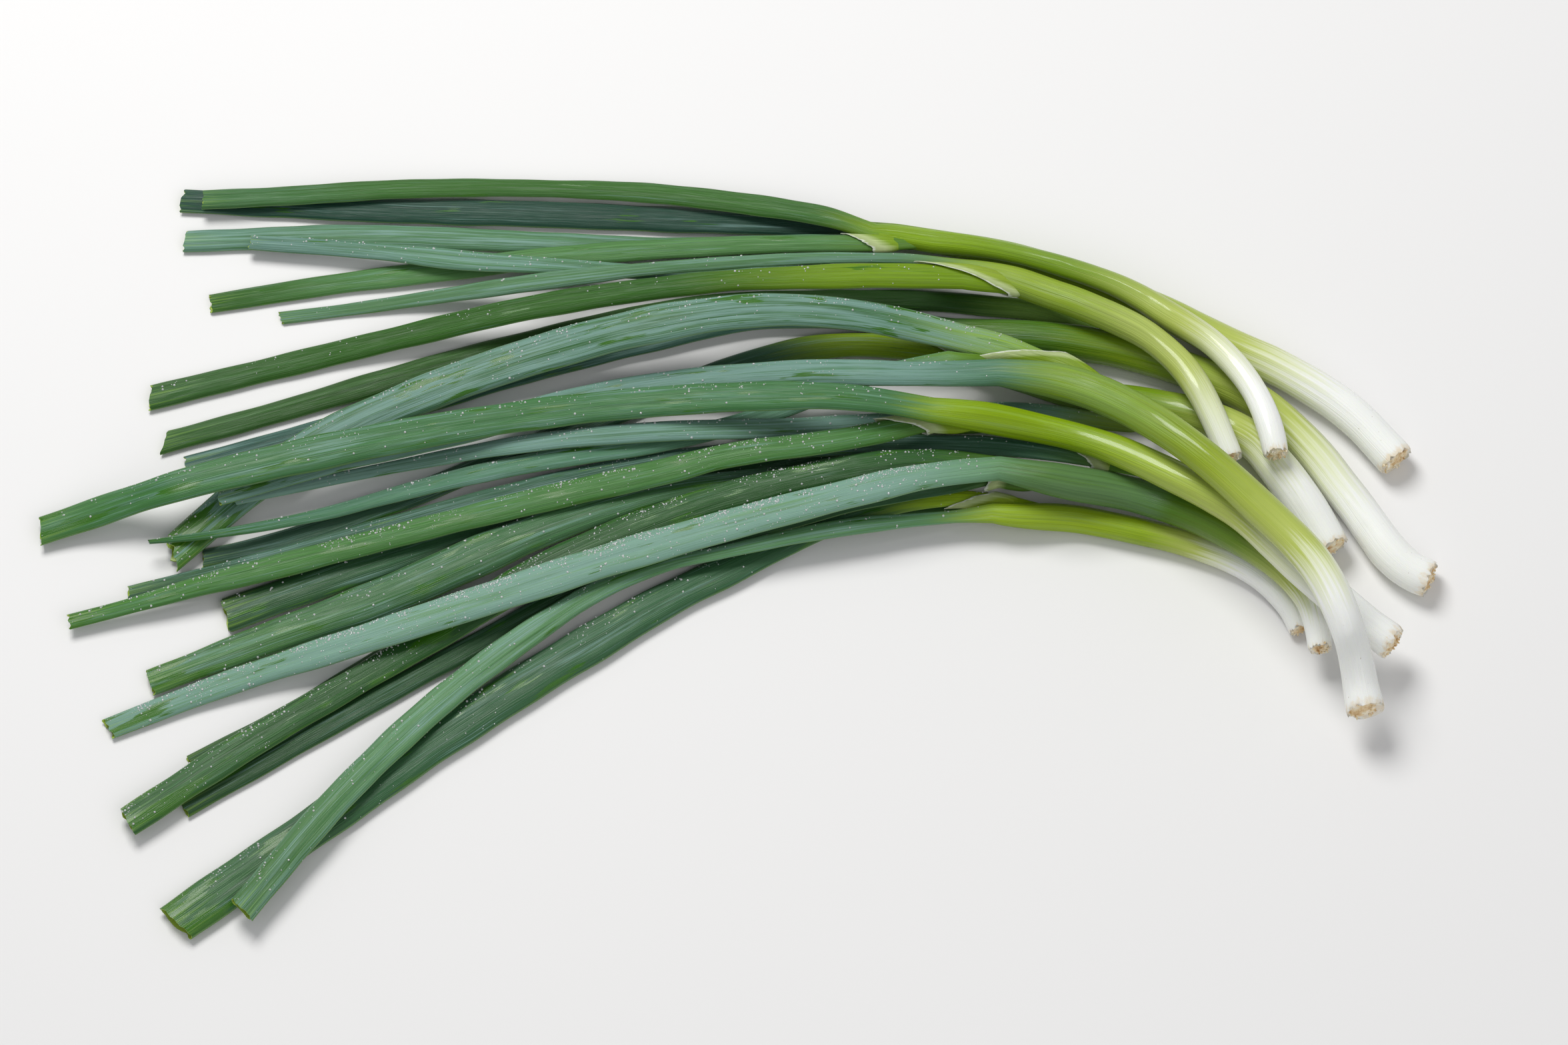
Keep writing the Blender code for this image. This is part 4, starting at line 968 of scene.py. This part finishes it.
def collarMaterial(key, groups):
    # a thin film: green where it grows from the skin, whitish and clearer towards its free edge
    look = collarLook
    fixed = {"Roughness": look["roughness"], "SpecularIORLevel": look["specular"]}
    material, tree, shader, way, share, veins = skinMaterial("collar_" + key, groups, seedOf(key), **fixed)
    warped = weighted(tree, veins["Streaks"], 0.10, share)
    body = colourRamp(tree, warped, ((0.20, mouthColours[key[0]]), (0.62, look["film"]), (0.93, look["film"]),
                                     (1.0, look["edge"])))
    body = greenSkin(tree, body, veins, rangeStep(tree, share, 0.3, 0.95, 0.8, 0.10))
    feed(tree, shader["Base Color"], body)
    feed(tree, shader["Alpha"], rangeStep(tree, warped, 0.55, 1.02, 1.0, 0.80))
    feed(tree, shader["Normal"], veinRelief(tree, veins, relief["collarStrength"]))
    return material


rootForm = {
    "sunk": 0.35, "thickness": 1.1, "rings": 7, "sides": 40, "size": 0.99, "rounding": 0.62, "middle": 0.03,
    "lumps": 0.05, "rough": 0.30, "seed": 11,
    "stubs": 15, "stubWidth": 0.00038, "stubLength": 0.0009,
    "stubSides": 6, "stubSteps": 3, "stubTaper": 0.7, "stubFrom": 0.12,     # stubs keep off the plate's rim
    "stubLean": (0.55, 0.55, 3.1), "smallest": (0.6, 0.6, 0.35), "largest": (1.25, 1.25, 1.25),
}
rootLook = {
    "stops": ((0.26, tint(196, 156, 104)), (0.38, tint(228, 200, 154)), (0.50, tint(240, 224, 190)),
              (0.62, tint(246, 241, 226))),
    "dark": tint(146, 102, 58), "darkCover": 0.4, "roughness": 0.62, "specular": 0.30,
    "coarse": 430.0, "fine": 1500.0, "height": 0.0003, "strength": 0.8,
}


def rootMaterial():
    # the cut crown: cream flesh at its rim, tan and brown where the roots were
    look = rootLook
    fixed = {"Roughness": look["roughness"], "SpecularIORLevel": look["specular"]}
    material, tree, shader = newMaterial("root_crust", **flesh, **fixed)
    place = addNode(tree, "ShaderNodeTexCoord").outputs["Object"]
    share = addNode(tree, "ShaderNodeAttribute", attribute_name="leafShare").outputs["Fac"]
    coarse, fine = (addNode(tree, "ShaderNodeTexNoise", {"Scale": scale, "Detail": detail, "Vector": place})
                    for scale, detail in ((look["coarse"], 4.0), (look["fine"], 3.0)))
    coarse, fine = coarse.outputs["Fac"], fine.outputs["Fac"]
    body = colourRamp(tree, weighted(tree, share, -0.10, coarse), look["stops"])
    dark = rangeStep(tree, fine, 0.64, 0.70, 0.0, look["darkCover"])
    feed(tree, shader["Base Color"], mixColour(tree, dark, body, look["dark"]))
    feed(tree, shader["Normal"], bumpFrom(tree, fine, look["height"], look["strength"]))
    return material


def rootPlateMesh(run):
    # a lumpy cushion that closes the shaft's end
    form = rootForm
    seat = smoothRun(run, np.array([shaftForm["start"] + form["sunk"]]))
    sides = form["sides"]
    angle = ringAngles(sides, 0.0)
    draw = random.Random(form["seed"] + ord(run["key"]))
    edgeLumps = drawn(draw, sides)
    edgeLumps = (edgeLumps + np.roll(edgeLumps, 1)) * 0.5
    flare = 1.0 + buttFlare.get(run["key"], 0.0)
    rows = []
    for ring in range(form["rings"] + 1):
        share = ring / form["rings"]
        size = form["size"] * (1.0 - share) ** form["rounding"] if ring < form["rings"] else form["middle"]
        lumps = drawn(draw, sides)
        lumps = (lumps + np.roll(lumps, 1)) * 0.5
        wide = size * flare * shaftForm["buttSize"] * (1.0 + form["lumps"] * edgeLumps * (1.0 - share))
        across = np.cos(angle) * seat["halfWidth"][0] * wide
        high = np.sin(angle) * seat["halfHeight"][0] * wide
        slide = -form["thickness"] * math.sin(share * math.pi / 2.0)
        slide = slide + form["rough"] * lumps * (1.0 if 0 < ring < form["rings"] else 0.0)
        rows.append(ringPoints(seat, across[None, :], high[None, :], slide[None, :])[0])
    rows = np.array(rows)
    share = np.linspace(0.0, 1.0, len(rows))[:, None] * np.ones((1, sides))
    return skin("root_plate_" + run["key"], rows[:, ::-1], np.zeros(rows.shape), share, share)


def attributeIn(tree, name):
    given = {"Name": name}
    return addNode(tree, "GeometryNodeInputNamedAttribute", given, data_type="FLOAT").outputs["Attribute"]


def randomVector(tree, seed, low, high):
    return addNode(tree, "FunctionNodeRandomValue", {0: low, 1: high, "Seed": seed},
                   data_type="FLOAT_VECTOR").outputs[0]


def makeStubTree():
    # trimmed roots stand out of the plate away from its rim, each tilted and turned by chance
    form = rootForm
    inputs = {"Geometry": "Geometry", "Count": "Int", "Width": "Float", "Length": "Float", "Seed": "Int",
              "Material": "Material"}
    tree, start, end = newTree("rootStubs", "GeometryNodeTree", inputs, {"Geometry": "Geometry"})
    inner = addNode(tree, "FunctionNodeCompare", {0: attributeIn(tree, "leafShare"), 1: form["stubFrom"]},
                    data_type="FLOAT", operation="GREATER_THAN").outputs[0]
    scatter = addNode(tree, "GeometryNodeDistributePointsOnFaces", {
        "Mesh": start["Geometry"], "Selection": inner, "Density": start["Count"], "Seed": start["Seed"]})
    stub = addNode(tree, "GeometryNodeMeshCone", {
        "Vertices": form["stubSides"], "Side Segments": form["stubSteps"], "Depth": start["Length"],
        "Radius Bottom": start["Width"], "Radius Top": product(tree, start["Width"], form["stubTaper"])})
    lean = form["stubLean"]
    turn = randomVector(tree, start["Seed"], tuple(-value for value in lean), lean)
    given = {"Rotation": scatter.outputs["Rotation"], "Rotate By": turn}
    rotate = addNode(tree, "FunctionNodeRotateEuler", given, rotation_type="EULER", space="LOCAL")
    place = addNode(tree, "GeometryNodeInstanceOnPoints", {
        "Points": scatter.outputs["Points"], "Instance": stub.outputs["Mesh"], "Rotation": rotate.outputs[0],
        "Scale": randomVector(tree, start["Seed"], form["smallest"], form["largest"])})
    real = addNode(tree, "GeometryNodeRealizeInstances", {0: place.outputs[0]})
    join = addNode(tree, "GeometryNodeJoinGeometry", {0: real.outputs[0]})
    feed(tree, join.inputs[0], start["Geometry"])
    given = {"Geometry": join.outputs[0], "Material": start["Material"]}
    feed(tree, end["Geometry"], addNode(tree, "GeometryNodeSetMaterial", given).outputs[0])
    return tree


def addPiece(name, mesh):
    thing = bpy.data.objects.new(name, mesh)
    bpy.context.scene.collection.objects.link(thing)
    return thing


def runTree(thing, tree, **values):
    # runs the tree over the piece and keeps its result as a plain mesh
    modifier = thing.modifiers.new(tree.name, "NODES")
    modifier.node_group = tree
    for item in tree.interface.items_tree:
        if item.item_type == "SOCKET" and item.in_out == "INPUT" and item.name in values:
            modifier[item.identifier] = values[item.name]
    bpy.context.view_layer.update()
    seen = thing.evaluated_get(bpy.context.evaluated_depsgraph_get())
    mesh = bpy.data.meshes.new_from_object(seen)
    thing.modifiers.remove(modifier)
    thing.data = mesh


def settle(thing, node):
    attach(thing, "root")
    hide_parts(node)


def makeShafts(runs, groups):
    for key in shaftRoutes:
        run = runs["shaft_" + key]
        shaft = addPiece("shaft_skin_" + key, shaftMesh(run))
        shaft.data.materials.append(shaftMaterial(key, groups, run["at"][-1]))
        settle(shaft, "shaft_" + key)
    print("shafts made:", len(shaftRoutes))


def makeRoots(runs):
    tree = makeStubTree()
    crust = rootMaterial()
    for key in shaftRoutes:
        run = runs["shaft_" + key]
        root = addPiece("root_crust_" + key, rootPlateMesh(run))
        area = math.pi * run["halfWidth"][0] * run["halfHeight"][0] * mm * mm
        runTree(root, tree, Count=int(rootForm["stubs"] / area), Width=rootForm["stubWidth"],
                Length=rootForm["stubLength"], Seed=rootForm["seed"] + ord(key), Material=crust)
        for vertex in root.data.vertices:
            vertex.co.z = max(vertex.co.z, tubes["lowest"] * mm)      # no root goes into the surface
        settle(root, "root_plate_" + key)
    print("root ends made:", len(shaftRoutes))


def makeLeaves(runs, groups):
    leaves = {}
    for key in leafRoutes:
        run = runs["leaf_" + key]
        leaf = addPiece("leaf_skin_" + key, leafMesh(run, runs["shaft_" + key[0]]))
        leaf.data.materials.append(leafMaterial(key, groups, run["at"][-1]))
        settle(leaf, "leaf_" + key)
        leaves[key] = leaf
    print("leaves made:", len(leafRoutes))
    return leaves


def makeCollars(runs, groups):
    for key in collars:
        collar = addPiece("collar_" + key, collarMesh(key, runs["leaf_" + key], runs["shaft_" + key[0]]))
        collar.data.materials.append(collarMaterial(key, groups))
        wall = collar.modifiers.new("film", "SOLIDIFY")
        wall.thickness = collarForm["thickness"]
        wall.offset = -1.0
        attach(collar, "root")
    print("collars made:", len(collars))


dropForm = {
    "density": 1700000.0, "radius": 0.00026, "seed": 5, "sides": 6, "rings": 4,
    "smallest": 0.55, "largest": 1.7, "rarity": 3.0,     # the higher the rarity, the fewer large drops
    "flattened": 0.72, "roughness": 0.04, "ior": 1.45, "clear": 0.55,
}


def makeDropTree():
    # beads on the upper side, as close as the wetness attribute says; part clear, part white as a painted
    # glint
    form = dropForm
    inputs = {"Geometry": "Geometry", "Density": "Float", "Radius": "Float", "Seed": "Int",
              "Material": "Material"}
    tree, start, end = newTree("waterDrops", "GeometryNodeTree", inputs, {"Geometry": "Geometry"})
    scatter = addNode(tree, "GeometryNodeDistributePointsOnFaces", {
        "Mesh": start["Geometry"], "Seed": start["Seed"],
        "Density": product(tree, attributeIn(tree, "wetness"), start["Density"])})
    bead = addNode(tree, "GeometryNodeMeshUVSphere", {
        "Segments": form["sides"], "Rings": form["rings"], "Radius": start["Radius"]})
    smooth = addNode(tree, "GeometryNodeSetShadeSmooth", {"Geometry": bead.outputs["Mesh"]})
    given = {2: 0.0, 3: 1.0, "Seed": start["Seed"]}
    chance = addNode(tree, "FunctionNodeRandomValue", given, data_type="FLOAT")
    rare = mathStep(tree, "POWER", chance.outputs[1], form["rarity"])
    size = addNode(tree, "ShaderNodeMapRange", {
        "Value": rare, "To Min": form["smallest"], "To Max": form["largest"]}).outputs[0]
    low = product(tree, size, form["flattened"])
    place = addNode(tree, "GeometryNodeInstanceOnPoints", {
        "Points": scatter.outputs["Points"], "Instance": smooth.outputs[0],
        "Rotation": scatter.outputs["Rotation"],
        "Scale": addNode(tree, "ShaderNodeCombineXYZ", {0: size, 1: size, 2: low}).outputs[0]})
    real = addNode(tree, "GeometryNodeRealizeInstances", {0: place.outputs[0]})
    given = {"Geometry": real.outputs[0], "Material": start["Material"]}
    feed(tree, end["Geometry"], addNode(tree, "GeometryNodeSetMaterial", given).outputs[0])
    return tree


def makeDrops(leaves):
    form = dropForm
    tree = makeDropTree()
    # the drops are part clear water and part plain white, a painted glint that makes them read as white
    # sparkles
    water = newMaterial("water_with_painted_glint", BaseColor=(1.0, 1.0, 1.0, 1.0), Roughness=form["roughness"],
                        IOR=form["ior"], TransmissionWeight=form["clear"])[0]
    beads = []
    for key in leafWetness:
        bead = addPiece("drops_" + key, leaves[key].data.copy())
        runTree(bead, tree, Density=form["density"], Radius=form["radius"], Seed=form["seed"] + keySeed(key),
                Material=water)
        beads.append(bead)
    bpy.ops.object.select_all(action="DESELECT")
    for bead in beads:
        bead.select_set(True)
    bpy.context.view_layer.objects.active = beads[0]
    bpy.ops.object.join()
    beads[0].name = "water_drops"
    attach(beads[0], "root")
    print("faces of drops:", len(beads[0].data.polygons))


# The photograph's view: a long lens, looking down on the bunch from the front.
viewing = {"distance": 2.5, "sensor": 36.0, "frameWidth": 0.4704, "aimAcross": 0.0144, "aimUp": 0.00965}
lighting = {
    "mainPlace": (-0.35, 0.75, 1.15), "mainSize": 0.7, "mainPower": 16.5,
    "fillPlace": (0.5, -0.8, 0.9), "fillSize": 1.2, "fillPower": 4.0, "target": (0.0, 0.0, 0.02),
    "skyColour": (0.92, 0.94, 1.0), "skyStrength": 0.36,
    "floorColour": (0.80, 0.79, 0.77), "floorRoughness": 0.9, "floorHalf": 6.0,
}


def aimAt(thing, place, target):
    thing.location = place
    thing.rotation_euler = (Vector(target) - Vector(place)).to_track_quat("-Z", "Y").to_euler()


def makeView():
    # aimUp is measured square to the line of sight, so its share on the floor is worked out here
    target = Vector((viewing["aimAcross"], viewing["aimUp"] / math.sin(sightAngle), 0.0))
    back = Vector((0.0, -math.cos(sightAngle), math.sin(sightAngle)))
    lens = bpy.data.cameras.new("view")
    lens.sensor_width = viewing["sensor"]
    lens.lens = viewing["sensor"] * viewing["distance"] / viewing["frameWidth"]
    camera = addPiece("view", lens)
    camera.location = target + back * viewing["distance"]
    camera.rotation_euler = (-back).to_track_quat("-Z", "Y").to_euler()
    bpy.context.scene.camera = camera


def makeStudio():
    half = lighting["floorHalf"]
    floorMesh = bpy.data.meshes.new("floor")
    floorMesh.from_pydata([(-half, -half, 0.0), (half, -half, 0.0), (half, half, 0.0), (-half, half, 0.0)],
                          [], [(0, 1, 2, 3)])
    floor = addPiece("floor", floorMesh)
    floor.data.materials.append(newMaterial("floor", BaseColor=lighting["floorColour"] + (1.0,),
                                            Roughness=lighting["floorRoughness"])[0])
    for name in ("main", "fill"):
        lamp = bpy.data.lights.new(name, "AREA")
        lamp.shape = "DISK"
        lamp.size = lighting[name + "Size"]
        lamp.energy = lighting[name + "Power"]
        aimAt(addPiece(name + "_light", lamp), lighting[name + "Place"], lighting["target"])
    world = bpy.data.worlds.new("soft sky")
    world.use_nodes = True
    background = world.node_tree.nodes["Background"]
    background.inputs["Color"].default_value = lighting["skyColour"] + (1.0,)
    background.inputs["Strength"].default_value = lighting["skyStrength"]
    bpy.context.scene.world = world
    bpy.context.scene.view_settings.view_transform = "Standard"


makeView()
makeStudio()
bunchRuns = layBunch()
sharedGroups = {"veins": makeVeinsGroup(), "bloom": makePatchGroup("bloom"), "rub": makePatchGroup("rub")}
makeShafts(bunchRuns, sharedGroups)
makeRoots(bunchRuns)
bunchLeaves = makeLeaves(bunchRuns, sharedGroups)
makeCollars(bunchRuns, sharedGroups)
makeDrops(bunchLeaves)
